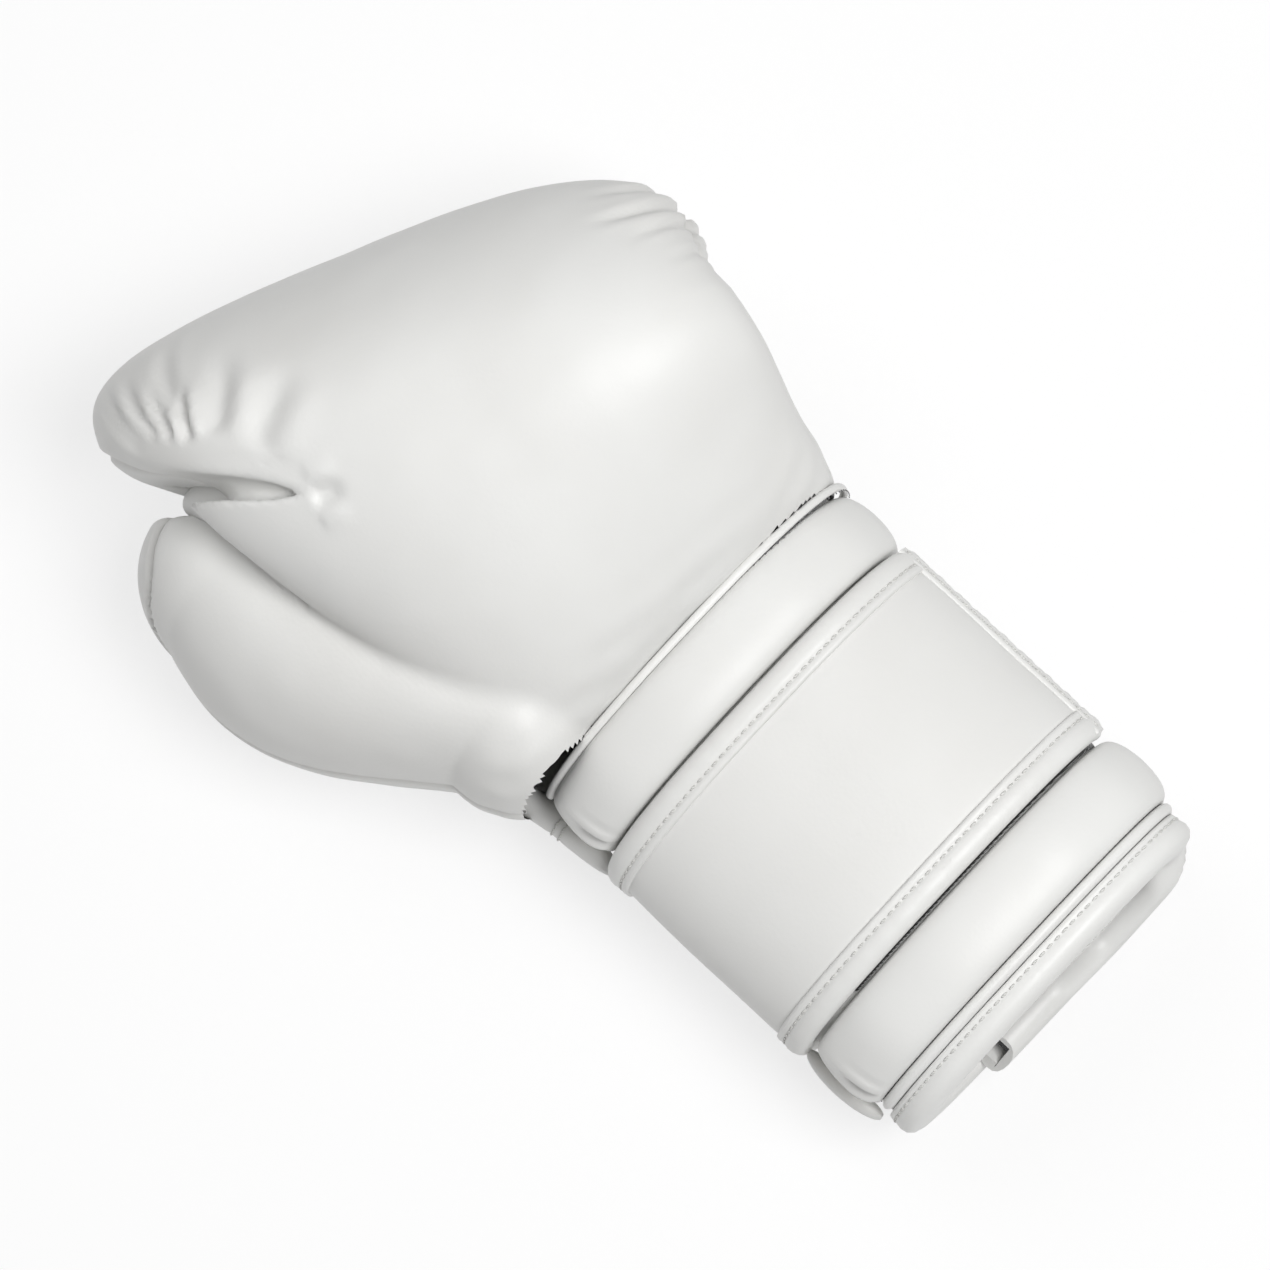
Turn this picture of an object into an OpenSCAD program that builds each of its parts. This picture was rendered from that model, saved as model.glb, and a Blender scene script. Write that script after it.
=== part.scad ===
// Hook-and-loop boxing glove for the right hand, lying on its palm.
// +X is the little-finger side, +Y runs from the cuff's rim to the knuckles and +Z is the back of the hand.
// The origin is the middle of the wrist opening, in the plane of the rim. All sizes are millimetres.

/* [Layers] */
// Thickness of the leather
leather_t = 1.6; // [1.4:0.1:2.0]
// Thickness of the fabric lining
lining_t = 1.2; // [1.0:0.1:1.6]
// Free space between neighbouring layers
layer_gap = 0.3; // [0.2:0.05:0.4]
// Width of the open line where two panels are sewn edge to edge
seam_gap = 0.5; // [0.3:0.1:0.8]

/* [Cuff] */
// Half of the cuff wall's width, under the strap
cuff_half_w = 54; // [50:1:58]
// Half of the cuff wall's height, under the strap
cuff_half_h = 34; // [32:1:38]
// Foam in the cuff wall
cuff_foam_t = 6; // [5:0.5:7]
// Height of the padded rolls over the cuff wall
roll_h = 7; // [5:0.25:7]
// Width of the roll beside the rim
lower_roll_w = 23; // [20:1:26]
// Width of the roll beside the fist
upper_roll_w = 22; // [19:1:25]
// Width of the folded binding on the rim
rim_binding_w = 8; // [7:0.5:10]
// Width of the piping between the rim binding and the roll
rim_piping_w = 3.2; // [2.6:0.2:4.0]
// Diameter of the cross-stitched gusset roll on the thumb side
gusset_d = 8.6; // [7:0.2:9]

/* [Strap] */
// Width of the strap along the cuff
strap_w = 74; // [68:1:80]
// Thickness of the padded strap
strap_t = 4.6; // [4.2:0.1:5.2]
// Width of the binding along the strap's edges
strap_binding_w = 10; // [8:0.5:12]
// Height of the binding over the strap's face
strap_binding_h = 0.8; // [0.6:0.1:1.0]
// Thickness of each half of the hook-and-loop fastener
fastener_t = 1.0; // [0.8:0.1:1.2]
// Margin between the hook patch and the strap's edges
patch_margin = 12; // [10:1:15]

/* [Fist] */
// Height of the back of the hand over the floor
fist_top = 124; // [118:1:130]
// Distance from the wrist seam to the axis that the fingers curl round
curl_reach = 80; // [76:1:84]
// Reach of the finger face in front of that axis
front_reach = 63; // [60:1:66]
// Height of that axis over the floor
curl_h = 53; // [51:1:55]
// Radius of the fold that the fingers close on
fold_r = 9; // [8:0.5:10]
// How much further back the little finger's knuckle is, as a slope
knuckle_slant = 0.46; // [0.4:0.02:0.5]
// Foam over the back of the hand and the knuckles
knuckle_foam_t = 26; // [23:1:28]
// Foam in front of the fingers and at their tips
finger_foam_t = 14; // [12:1:16]
// Foam under the palm
palm_foam_t = 6; // [5:0.5:7]

/* [Thumb] */
// Half of the thumb's width at its root
thumb_half_w = 22; // [20:0.5:24]
// Half of the thumb's height at its root
thumb_half_h = 36; // [33:0.5:38]
// How much wider each side of the thumb is half way along
thumb_swell = 9; // [7:0.5:10]
// Foam round the thumb
thumb_foam_t = 8; // [7:0.5:9]

/* [Hidden] */

white_leather = "#F2F2F0";
white_lining = "#E4E4E1";
pale_foam = "#D9D6CC";
black_fabric = "#17181A";

// Layers are counted from the outside: the two faces of the leather, of the foam and of the lining.
SKIN = 0;
SKIN_BACK = 1;
FOAM = 2;
FOAM_BACK = 3;
LINING = 4;
LINING_BACK = 5;

// Places along the cuff, from the rim
piping_y = rim_binding_w + layer_gap;
lower_roll_y = piping_y + rim_piping_w + layer_gap;
strap_y = lower_roll_y + lower_roll_w + 1;
upper_roll_y = strap_y + strap_w + 1;
cuff_len = upper_roll_y + upper_roll_w;
wrist_y = cuff_len + 2.5;
slit_len = strap_y + strap_w - 6;

// Heights over the cuff wall
loop_out = layer_gap;
strap_in = loop_out + fastener_t + layer_gap;
strap_out = strap_in + strap_t;
binding_out = strap_out + strap_binding_h;
ground = -cuff_half_h - binding_out;
wall_t = leather_t + layer_gap + cuff_foam_t + layer_gap + lining_t;
elastic_t = 1;
flap_drop = wall_t + 2 * leather_t + 3 * layer_gap;

// Angles round the cuff: 0 is the little-finger side, 90 the back of the hand and 180 the thumb side
oval_roundness = 2 / 2.4;
round_step = 7.5;
outer_flap_end = 254;
inner_flap_end = -128;
inner_flap_bend = -68;
inner_flap_turn = 24;
roll_start = -48;
roll_end = 168;
roll_cols = 6;
anchor_start = -30;
side_bend = 225;
top_bend = 140;
tip_bend = 62;
strap_end = 10;
patch_start = 2 * round_step;
patch_end = 8 * round_step;
bend_angle = 0.5;

// The fist: its spine runs over the back of the hand (0 to 1), round the curl (1 to 2) and under (2 to 3)
curl_y = wrist_y + curl_reach;
knuckle_mid = 11;
curl_z = ground + curl_h;
wrist_low = ground + 4;
wrist_high = ground + 80;
fist_high = ground + fist_top;
back_roundness = 0.8;
curl_roundness = 0.64;
little_side_roundness = 0.69;
grip_bar_d = 2 * (fold_r * cos(atan(knuckle_slant)) - layer_gap - 0.15);
tip_back = 12;
tip_cap = 16;
top_reach = fist_top - curl_h;
back_rows = [for (i = [0 : 8]) [i / 8, 0]];
curl_rows = [for (i = [1 : 10]) [1 + i / 10, 0]];
tip_rows = [[3, 0], [3, 35], [3, 65], [3, 90]];
lining_tip_rows = [[3, 0], [3, 35], [3, 65], [3, 84]];
over_angles = [for (a = [180 : -15 : 0]) a];
under_angles = [for (a = [0 : -15 : -180]) a];
around_angles = concat([178], [for (a = [165 : -15 : -165]) a], [-178]);

// Piping in the wrist seam
welt_r = 1.2;
welt_mid = 2;
welt_half_w = 58;
welt_half_h = 36;

// The thumb lies against the hand on a plane that leans by this angle, this far from the origin
lean = 20;
lean_offset = 28;
lean_fade = 2.2;
lean_lead = 14;
lean_softness = 5;
thumb_y = wrist_y + 20;
thumb_len = 85;
thumb_cap = 28;
thumb_roundness = 0.87;
thumb_lean = 0.12;
thumb_rows = [for (i = [0 : 7]) [i / 7, 0]];
thumb_inner_rows = [for (i = [1 : 7]) [i / 7, 0]];
thumb_cap_rows = [[1, 30], [1, 58], [1, 76], [1, 90]];
thumb_lining_cap_rows = [[1, 30], [1, 58], [1, 76], [1, 86]];
thumb_over_angles = [for (a = [180 : -18 : 0]) a];
thumb_under_angles = [for (a = [0 : -18 : -180]) a];
thumb_around_angles = concat([359], [for (a = [342 : -18 : 18]) a], [1]);

function smooth(t) = t <= 0 ? 0 : t >= 1 ? 1 : t * t * (3 - 2 * t);
function mix(a, b, t) = a + (b - a) * t;
function curve(v, roundness) = sign(v) * pow(abs(v), roundness);

// Depth of a layer's face under the leather's outer face, with this much foam
function depth(level, foam) =
    level == SKIN ? 0
    : level == SKIN_BACK ? leather_t
    : level == FOAM ? leather_t + layer_gap
    : level == FOAM_BACK ? leather_t + layer_gap + foam
    : level == LINING ? leather_t + foam + 2 * layer_gap
    : leather_t + foam + 2 * layer_gap + lining_t;

// ---- Sheets with a thickness: two grids of points, joined along their four edges ----

function quad(a, b, c, d) = [[a, b, c], [a, c, d]];

function sheet_faces(rows, cols) =
    let (n = rows * cols)
    [for (r = [0 : rows - 2], c = [0 : cols - 2])
        let (a = r * cols + c)
        for (f = concat(quad(a, a + cols, a + cols + 1, a + 1),
                quad(n + a, n + a + 1, n + a + cols + 1, n + a + cols))) f,
     for (r = [0 : rows - 2])
        let (a = r * cols, b = a + cols - 1)
        for (f = concat(quad(a, n + a, n + a + cols, a + cols),
                quad(b, b + cols, n + b + cols, n + b))) f,
     for (c = [0 : cols - 2])
        let (a = c, b = (rows - 1) * cols + c)
        for (f = concat(quad(a, a + 1, n + a + 1, n + a),
                quad(b, n + b, n + b + 1, b + 1))) f];

module sheet(outer, inner) {
    rows = len(outer);
    cols = len(outer[0]);
    polyhedron(
        points = [for (grid = [outer, inner], row = grid, p = row) p],
        faces = sheet_faces(rows, cols));
}

// ---- The cuff ----

function cuff_drop(angle) = -flap_drop * smooth((inner_flap_bend - angle) / inner_flap_turn);

function cuff_point(angle, out) = [
    (cuff_half_w + out) * curve(cos(angle), oval_roundness),
    (cuff_half_h + out) * curve(sin(angle), oval_roundness)];

// Angles from one end to the other, on stops that every layer shares so that their faces stay parallel
function stops(from, to) = concat(
    [from],
    [for (a = [ceil(from / round_step + 0.01) * round_step : round_step : to - 0.1]) a],
    [to]);

function reversed(list) = [for (i = [len(list) - 1 : -1 : 0]) list[i]];

// A band round the cuff between two heights over its wall
function band(from, to, low, high) =
    let (angles = stops(from, to))
    concat(
        [for (a = angles) cuff_point(a, high)],
        [for (a = reversed(angles)) cuff_point(a, low)]);

// The wall's own band, from the tucked inner palm flap round to the outer one
function wall_band(low, high) =
    let (angles = stops(inner_flap_end, outer_flap_end))
    concat(
        [for (a = angles) cuff_point(a, high + cuff_drop(a))],
        [for (a = reversed(angles)) cuff_point(a, low + cuff_drop(a))]);

function closed_oval(out) = [for (a = [0 : round_step : 360 - round_step]) cuff_point(a, out)];

module along_cuff(from, to) {
    translate([0, to, 0]) rotate([90, 0, 0]) linear_extrude(to - from) children();
}

module cuff_layer(low, high, rim) {
    along_cuff(rim, slit_len) polygon(wall_band(low, high));
    along_cuff(slit_len, cuff_len) difference() {
        polygon(closed_oval(high));
        polygon(closed_oval(low));
    }
}

module cuff_cover() {
    color(white_leather) cuff_layer(-leather_t, 0, leather_t + layer_gap);
}

module cuff_foam() {
    color(pale_foam) cuff_layer(-depth(FOAM_BACK, cuff_foam_t), -depth(FOAM, cuff_foam_t), rim_binding_w);
}

module cuff_lining() {
    color(white_lining)
        cuff_layer(-depth(LINING_BACK, cuff_foam_t), -depth(LINING, cuff_foam_t), leather_t + layer_gap);
}

// Elastic between the two palm flaps, which lets the cuff open for the hand
module elastic_gusset() {
    high = -wall_t - layer_gap;
    color(white_lining) along_cuff(strap_y, slit_len - layer_gap)
        polygon(band(inner_flap_end + 2, outer_flap_end - 362, high - elastic_t, high));
}

// Leather folded over the rim, outside and inside
module rim_binding() {
    outside = layer_gap + leather_t;
    inside = -wall_t - layer_gap;
    color(white_leather) {
        along_cuff(0, rim_binding_w) polygon(wall_band(layer_gap, outside));
        along_cuff(0, leather_t) polygon(wall_band(inside, layer_gap));
        along_cuff(0, rim_binding_w) polygon(wall_band(inside - leather_t, inside));
    }
}

// A rounded roll across the cuff: one row of points at one angle, at one depth under its surface
function roll_row(angle, y, width, height, inset, cols) = [
    for (i = [0 : cols])
        let (
            turn = 180 * i / cols,
            p = cuff_point(angle, 2 * layer_gap + (height - 2 * layer_gap - inset) * pow(max(0.01, sin(turn)), 0.6)))
        [p.x, y + width / 2 - (width / 2 - inset) * cos(turn), p.y]];

function roll_base(angle, y, width, inset, cols) = [
    for (i = [0 : cols])
        let (p = cuff_point(angle, layer_gap))
        [p.x, y + width / 2 - (width / 2 - inset) * cos(180 * i / cols), p.y]];

module roll_cover(y, width) {
    roll_angles = stops(roll_start, roll_end);
    inset = leather_t;
    sheet(
        [for (a = roll_angles) roll_row(a, y, width, roll_h, 0, roll_cols)],
        [for (a = roll_angles) roll_row(a, y, width, roll_h, inset, roll_cols)]);
}

module roll_foam(y, width) {
    roll_angles = stops(roll_start, roll_end);
    inset = leather_t + layer_gap;
    sheet(
        [for (a = roll_angles) roll_row(a, y, width, roll_h, inset, roll_cols)],
        [for (a = roll_angles) roll_base(a, y, width, inset, roll_cols)]);
}

module upper_roll_cover() {
    color(white_leather) roll_cover(upper_roll_y, upper_roll_w);
}

module upper_roll_foam() {
    color(pale_foam) roll_foam(upper_roll_y, upper_roll_w);
}

module lower_roll_cover() {
    color(white_leather) roll_cover(lower_roll_y, lower_roll_w);
}

module lower_roll_foam() {
    color(pale_foam) roll_foam(lower_roll_y, lower_roll_w);
}

module rim_piping() {
    color(white_leather) along_cuff(piping_y, piping_y + rim_piping_w)
        polygon(band(roll_start, roll_end, layer_gap, 3.2));
}

// ---- Round cords and rolls along a short route ----

function tube_ring(p, ahead, r, sides) =
    let (side = [ahead.y, -ahead.x, 0] / norm([ahead.x, ahead.y]), up = cross(side, ahead))
    [for (i = [0 : sides - 1]) p + r * (cos(360 * i / sides) * side + sin(360 * i / sides) * up)];

module tube(route, radii, sides = 12) {
    last = len(route) - 1;
    rings = [for (i = [0 : last])
        let (a = route[max(0, i - 1)], b = route[min(last, i + 1)])
        tube_ring(route[i], (b - a) / norm(b - a), radii[i], sides)];
    around = [for (r = [0 : last - 1], s = [0 : sides - 1])
        let (a = r * sides + s, b = r * sides + (s + 1) % sides)
        for (f = quad(a, b, b + sides, a + sides)) f];
    polyhedron(
        points = [for (ring = rings, p = ring) p],
        faces = concat(around,
            [[for (s = [sides - 1 : -1 : 0]) s]],
            [[for (s = [0 : sides - 1]) last * sides + s]]));
}

function gusset_radii(n) = [for (i = [0 : n]) gusset_d / 2 * pow(max(0.2, sin(180 * i / n)), 0.35)];

module upper_gusset() {
    r = gusset_d / 2 + layer_gap;
    start = [-cuff_half_w - r, upper_roll_y + 1, -3];
    knee = [-cuff_half_w - r - 0.5, cuff_len, -4];
    finish = [-cuff_half_w - r - 4, thumb_y - 1.5, -6];
    route = [for (i = [0 : 10]) i < 6 ? mix(start, knee, i / 6) : mix(knee, finish, (i - 6) / 4)];
    color(white_leather) tube(route, gusset_radii(10));
}

module lower_gusset() {
    r = gusset_d / 2 + layer_gap;
    start = [-cuff_half_w - r, lower_roll_y, -3];
    finish = [-cuff_half_w - r, lower_roll_y + lower_roll_w, -3];
    color(white_leather) tube([for (i = [0 : 6]) mix(start, finish, i / 6)], gusset_radii(6));
}

// ---- The strap ----

module strap_band(from, to, low, high, margin) {
    along_cuff(strap_y + margin, strap_y + strap_w - margin) polygon(band(from, to, low, high));
}

// Leather sleeve: open at a bend, where the next length joins on, and closed at a sewn end
module strap_cover(from, to, low, open_from, open_to) {
    wall = leather_t / 2;
    reach = 2;
    difference() {
        strap_band(from, to, low, strap_out, wall);
        strap_band(from - (open_from ? reach : -reach), to + (open_to ? reach : -reach),
            low + wall, strap_out - wall, 3 * wall);
    }
}

module strap_foam(from, to, low, open_from, open_to) {
    wall = leather_t / 2;
    reach = 2.4;
    strap_band(from + (open_from ? 0 : reach), to - (open_to ? 0 : reach),
        low + wall + layer_gap / 2, strap_out - wall - layer_gap / 2, 3 * wall + layer_gap);
}

// Tape folded over both long edges
module strap_binding(from, to, low) {
    wall = leather_t / 2;
    for (side = [0, 1]) {
        edge = strap_y + side * (strap_w - wall);
        face = strap_y + side * (strap_w - strap_binding_w);
        along_cuff(edge, edge + wall) polygon(band(from, to, low, binding_out));
        along_cuff(face, face + strap_binding_w) polygon(band(from, to, strap_out, binding_out));
    }
}

module strap_anchor_cover() {
    color(white_leather) {
        strap_cover(side_bend - 360 + bend_angle, anchor_start, strap_in, true, false);
        along_cuff(strap_y + patch_margin, strap_y + strap_w - patch_margin)
            polygon(band(inner_flap_bend + 6, anchor_start, layer_gap, strap_in));
    }
}

module strap_anchor_foam() {
    color(pale_foam) strap_foam(side_bend - 360 + bend_angle, anchor_start, strap_in, true, false);
}

module strap_anchor_binding() {
    color(white_leather) strap_binding(side_bend - 360 + bend_angle, anchor_start, strap_in);
}

module strap_side_cover() {
    color(white_leather)
        strap_cover(top_bend + bend_angle, side_bend - bend_angle, strap_in, true, true);
}

module strap_side_foam() {
    color(pale_foam)
        strap_foam(top_bend + bend_angle, side_bend - bend_angle, strap_in, true, true);
}

module strap_side_binding() {
    color(white_leather) strap_binding(top_bend + bend_angle, side_bend - bend_angle, strap_in);
}

module strap_top_cover() {
    color(white_leather)
        strap_cover(tip_bend + bend_angle, top_bend - bend_angle, strap_in, true, true);
}

module strap_top_foam() {
    color(pale_foam)
        strap_foam(tip_bend + bend_angle, top_bend - bend_angle, strap_in, true, true);
}

module strap_top_binding() {
    color(white_leather) strap_binding(tip_bend + bend_angle, top_bend - bend_angle, strap_in);
}

tip_in = strap_in + fastener_t;

module strap_tip_cover() {
    color(white_leather) strap_cover(strap_end, tip_bend - bend_angle, tip_in, false, true);
}

module strap_tip_foam() {
    color(pale_foam) strap_foam(strap_end, tip_bend - bend_angle, tip_in, false, true);
}

module strap_tip_binding() {
    color(white_leather) strap_binding(strap_end, tip_bend - bend_angle, tip_in);
}

module hook_patch() {
    color(black_fabric) along_cuff(strap_y + patch_margin, strap_y + strap_w - patch_margin)
        polygon(band(patch_start, patch_end, strap_in, tip_in));
}

module loop_patch() {
    color(black_fabric) along_cuff(strap_y + 1, strap_y + strap_w - 4)
        polygon(band(-6, 128, loop_out, loop_out + fastener_t));
}

// ---- The fist ----

function lean_limit(y) = lean_offset + lean_fade * max(0, thumb_y - lean_lead - y);
function lean_height(p) = -p.x * cos(lean) - (p.z - ground) * sin(lean);

// How far a point that is this much past the plane moves back: always behind it, with a soft bend
function soft_step(over) = (over + norm([over, lean_softness])) / 2;

// Moves a point of the hand back to its own side of the leaning plane
function on_hand_side(p, inset) =
    let (step = soft_step(lean_height(p) - lean_limit(p.y) + inset))
    [p.x + step * cos(lean), p.y, p.z + step * sin(lean)];

// Moves a point of the thumb back to its own side
function on_thumb_side(p, inset) =
    let (step = soft_step(lean_limit(p.y) + layer_gap + inset - lean_height(p)))
    [p.x - step * cos(lean), p.y, p.z - step * sin(lean)];

function palm_side(u) =
    u <= 1 ? [mix(wrist_y, curl_y, u), mix(wrist_low, curl_z + fold_r, smooth(u))]
    : u <= 2 ? [curl_y, curl_z] + fold_r * [sin(180 * (u - 1)), cos(180 * (u - 1))]
    : [curl_y - tip_back * (u - 2), curl_z - fold_r];

function curl_reach_at(t) = t < 0.5 ? mix(top_reach, front_reach, smooth(2 * t)) : mix(front_reach, curl_h, smooth(2 * t - 1));

function back_side(u) =
    u <= 1 ? [mix(wrist_y, curl_y, u), mix(wrist_high, fist_high, pow(sin(90 * u), 0.75))]
    : u <= 2 ? [curl_y, curl_z] + curl_reach_at(u - 1) * [sin(180 * (u - 1)), cos(180 * (u - 1))]
    : [curl_y - tip_back * (u - 2), ground];

function thumb_edge(u) = u < 1 ? mix(-56, -64, smooth(u)) : mix(-64, -40, smooth((u - 1.3) / 0.5));
function little_edge(u) = u < 1 ? mix(62, 77, u) : u < 1.35 ? mix(77, 85, smooth((u - 1) / 0.35)) : mix(85, 76, smooth((u - 1.35) / 0.5));

function back_foam_at(u) =
    u < 1 ? mix(cuff_foam_t, knuckle_foam_t, smooth(u / 0.7)) : mix(knuckle_foam_t, finger_foam_t, smooth((u - 1.2) / 0.4));
function thumb_side_roundness(u) = mix(back_roundness, curl_roundness, smooth((u - 0.8) / 0.5));
function side_foam_at(u) = mix(cuff_foam_t, 10, smooth(u));

// A point on one layer of the fist. seam is 1 over the back seam, -1 under it and 0 where no seam parts the layer.
function fist_point(u, cap, angle, level, seam) =
    let (
        roundness = abs(angle) > 90 ? thumb_side_roundness(u) : little_side_roundness,
        palm = palm_side(u),
        across = back_side(u) - palm,
        reach = norm(across),
        near = depth(level, palm_foam_t),
        far = reach - depth(level, back_foam_at(u)),
        rise = (near + far) / 2 + seam * seam_gap / 2
            + (far - near) / 2 * cos(cap) * curve(sin(angle), roundness),
        left = thumb_edge(u) + depth(level, side_foam_at(u)),
        right = little_edge(u) - depth(level, side_foam_at(u)),
        x = (left + right) / 2 + (right - left) / 2 * curve(cos(angle), roundness),
        p = palm + across / reach * rise,
        y = p.x - (tip_cap - depth(level, 8)) * sin(cap) - knuckle_slant * smooth(u) * (x - knuckle_mid))
    on_hand_side([x, y, p.y], depth(level, 3));

function fist_grid(rows, angles, level, seam) = [
    for (row = rows) [for (a = angles) fist_point(row[0], row[1], a, level, seam)]];

module fist_sheet(rows, angles, outer, inner, seam) {
    sheet(fist_grid(rows, angles, outer, seam), fist_grid(rows, angles, inner, seam));
}

module back_shell() {
    color(white_leather)
        fist_sheet(concat(back_rows, curl_rows, tip_rows), over_angles, SKIN, SKIN_BACK, 1);
}

module back_foam() {
    color(pale_foam)
        fist_sheet(concat(back_rows, curl_rows, tip_rows), over_angles, FOAM, FOAM_BACK, 1);
}

module palm_panel() {
    color(white_leather) fist_sheet(back_rows, under_angles, SKIN, SKIN_BACK, -1);
}

module palm_foam() {
    color(pale_foam) fist_sheet(back_rows, under_angles, FOAM, FOAM_BACK, -1);
}

module finger_panel() {
    color(white_leather)
        fist_sheet(concat([[1.02, 0]], curl_rows, tip_rows), under_angles, SKIN, SKIN_BACK, -1);
}

module finger_foam() {
    color(pale_foam)
        fist_sheet(concat([[1.02, 0]], curl_rows, tip_rows), under_angles, FOAM, FOAM_BACK, -1);
}

module hand_lining() {
    rows = concat(back_rows, curl_rows, lining_tip_rows);
    color(white_lining) fist_sheet(rows, around_angles, LINING, LINING_BACK, 0);
}

module grip_bar() {
    turn = atan(knuckle_slant);
    color(white_leather) translate([0, curl_y + knuckle_slant * knuckle_mid, curl_z])
        rotate([0, 90, -turn]) translate([0, 0, -46]) cylinder(h = 118, d = grip_bar_d, $fn = 40);
}

// Piping between the roll and the fist; its two ends meet under the thumb-side gusset
module wrist_welt() {
    rows = [for (i = [0 : 34]) mix(-168, 168, i / 34)];
    color(white_leather) sheet(
        [for (a = rows) welt_row(a, welt_r)],
        [for (a = rows) welt_row(a, 0)]);
}

function welt_row(angle, out) = [
    for (turn = [0 : 45 : 180])
        let (lift = out * sin(turn))
        [welt_mid + (welt_half_w + lift) * curve(cos(angle), oval_roundness),
         cuff_len + welt_r - welt_r * cos(turn),
         (welt_half_h + lift) * curve(sin(angle), oval_roundness)]];

// ---- The thumb ----

function thumb_mid(t) = [-50 - 24 * sin(104 * t), thumb_y + thumb_len * t, ground + mix(52, 42, smooth(t))];
function thumb_width(t) = thumb_half_w + thumb_swell * sin(150 * t);
function thumb_height(t) = thumb_half_h + 3 * sin(150 * t);

function thumb_point(t, cap, angle, level, seam) =
    let (
        d = depth(level, thumb_foam_t),
        mid = thumb_mid(t),
        rise = seam * seam_gap / 2 + (thumb_height(t) - d) * cos(cap) * curve(sin(angle), thumb_roundness),
        x = mid.x + (thumb_width(t) - d) * cos(cap) * curve(cos(angle), thumb_roundness) + thumb_lean * rise)
    on_thumb_side([x, mid.y + (thumb_cap - d) * sin(cap), mid.z + rise], depth(level, 3));

function thumb_grid(rows, angles, level, seam) = [
    for (row = rows) [for (a = angles) thumb_point(row[0], row[1], a, level, seam)]];

module thumb_sheet(rows, angles, outer, inner, seam) {
    sheet(thumb_grid(rows, angles, outer, seam), thumb_grid(rows, angles, inner, seam));
}

module thumb_outer_panel() {
    color(white_leather) thumb_sheet(concat(thumb_rows, thumb_cap_rows), thumb_over_angles, SKIN, SKIN_BACK, 1);
}

module thumb_inner_panel() {
    color(white_leather) thumb_sheet(concat(thumb_rows, thumb_cap_rows), thumb_under_angles, SKIN, SKIN_BACK, -1);
}

module thumb_foam() {
    rows = concat(thumb_inner_rows, thumb_lining_cap_rows);
    color(pale_foam) thumb_sheet(rows, thumb_around_angles, FOAM, FOAM_BACK, 0);
}

module thumb_lining() {
    rows = concat(thumb_inner_rows, thumb_lining_cap_rows);
    color(white_lining) thumb_sheet(rows, thumb_around_angles, LINING, LINING_BACK, 0);
}

// Flat tab that ties the thumb's tip to the side of the fingers
module thumb_tab() {
    at_thumb = [thumb_point(1, 50, 0, SKIN, 0), thumb_point(1, 50, 30, SKIN, 0)];
    at_fist = [fist_point(1.7, 0, 180, SKIN, 0), fist_point(1.6, 0, 180, SKIN, 0)];
    along = at_fist[0] - at_thumb[0];
    ahead = along / norm(along);
    side = [-ahead.y, ahead.x, 0] * leather_t / 2;
    clear = layer_gap + leather_t / 4;
    ends = [[for (p = at_thumb) p + clear * ahead], [for (p = at_fist) p - clear * ahead]];
    color(white_leather) sheet(
        [for (row = ends) [for (p = row) p + side]],
        [for (row = ends) [for (p = row) p - side]]);
}

back_shell();
palm_panel();
finger_panel();
thumb_outer_panel();
thumb_inner_panel();
back_foam();
palm_foam();
finger_foam();
thumb_foam();
hand_lining();
thumb_lining();
grip_bar();
thumb_tab();
upper_gusset();
lower_gusset();
cuff_cover();
cuff_foam();
cuff_lining();
elastic_gusset();
wrist_welt();
upper_roll_cover();
upper_roll_foam();
lower_roll_cover();
lower_roll_foam();
rim_piping();
rim_binding();
loop_patch();
strap_anchor_cover();
strap_anchor_foam();
strap_anchor_binding();
strap_side_cover();
strap_side_foam();
strap_side_binding();
strap_top_cover();
strap_top_foam();
strap_top_binding();
strap_tip_cover();
strap_tip_foam();
strap_tip_binding();
hook_patch();
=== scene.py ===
"""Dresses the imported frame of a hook-and-loop boxing glove: leather, rolls, strap, linings and stitching."""

import logging
import math
from dataclasses import dataclass, field
from enum import Enum
from typing import Callable, Sequence

import bmesh
import bpy
import numpy as np
from mathutils import Matrix, Vector


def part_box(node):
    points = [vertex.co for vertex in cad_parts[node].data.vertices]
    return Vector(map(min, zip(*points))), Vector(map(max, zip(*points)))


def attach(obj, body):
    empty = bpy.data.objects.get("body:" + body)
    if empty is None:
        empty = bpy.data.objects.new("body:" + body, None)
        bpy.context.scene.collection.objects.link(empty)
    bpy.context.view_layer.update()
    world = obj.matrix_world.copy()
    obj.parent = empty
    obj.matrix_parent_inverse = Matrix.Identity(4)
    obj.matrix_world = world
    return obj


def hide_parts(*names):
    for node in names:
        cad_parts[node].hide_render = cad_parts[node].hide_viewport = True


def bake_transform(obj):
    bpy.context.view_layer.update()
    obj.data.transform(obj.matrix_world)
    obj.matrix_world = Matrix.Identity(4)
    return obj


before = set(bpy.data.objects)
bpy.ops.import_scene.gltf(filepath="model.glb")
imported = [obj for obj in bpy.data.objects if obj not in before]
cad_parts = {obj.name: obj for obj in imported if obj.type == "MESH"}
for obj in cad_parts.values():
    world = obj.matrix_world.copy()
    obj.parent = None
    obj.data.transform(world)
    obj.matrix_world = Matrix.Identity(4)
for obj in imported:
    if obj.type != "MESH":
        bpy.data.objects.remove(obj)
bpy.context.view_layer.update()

log = logging.getLogger("glove")

MM = 0.001
GROUND = -41.0  # height of the floor under the cuff's axis, in millimetres

Array = np.ndarray


# ---------------------------------------------------------------- small helpers


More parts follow.
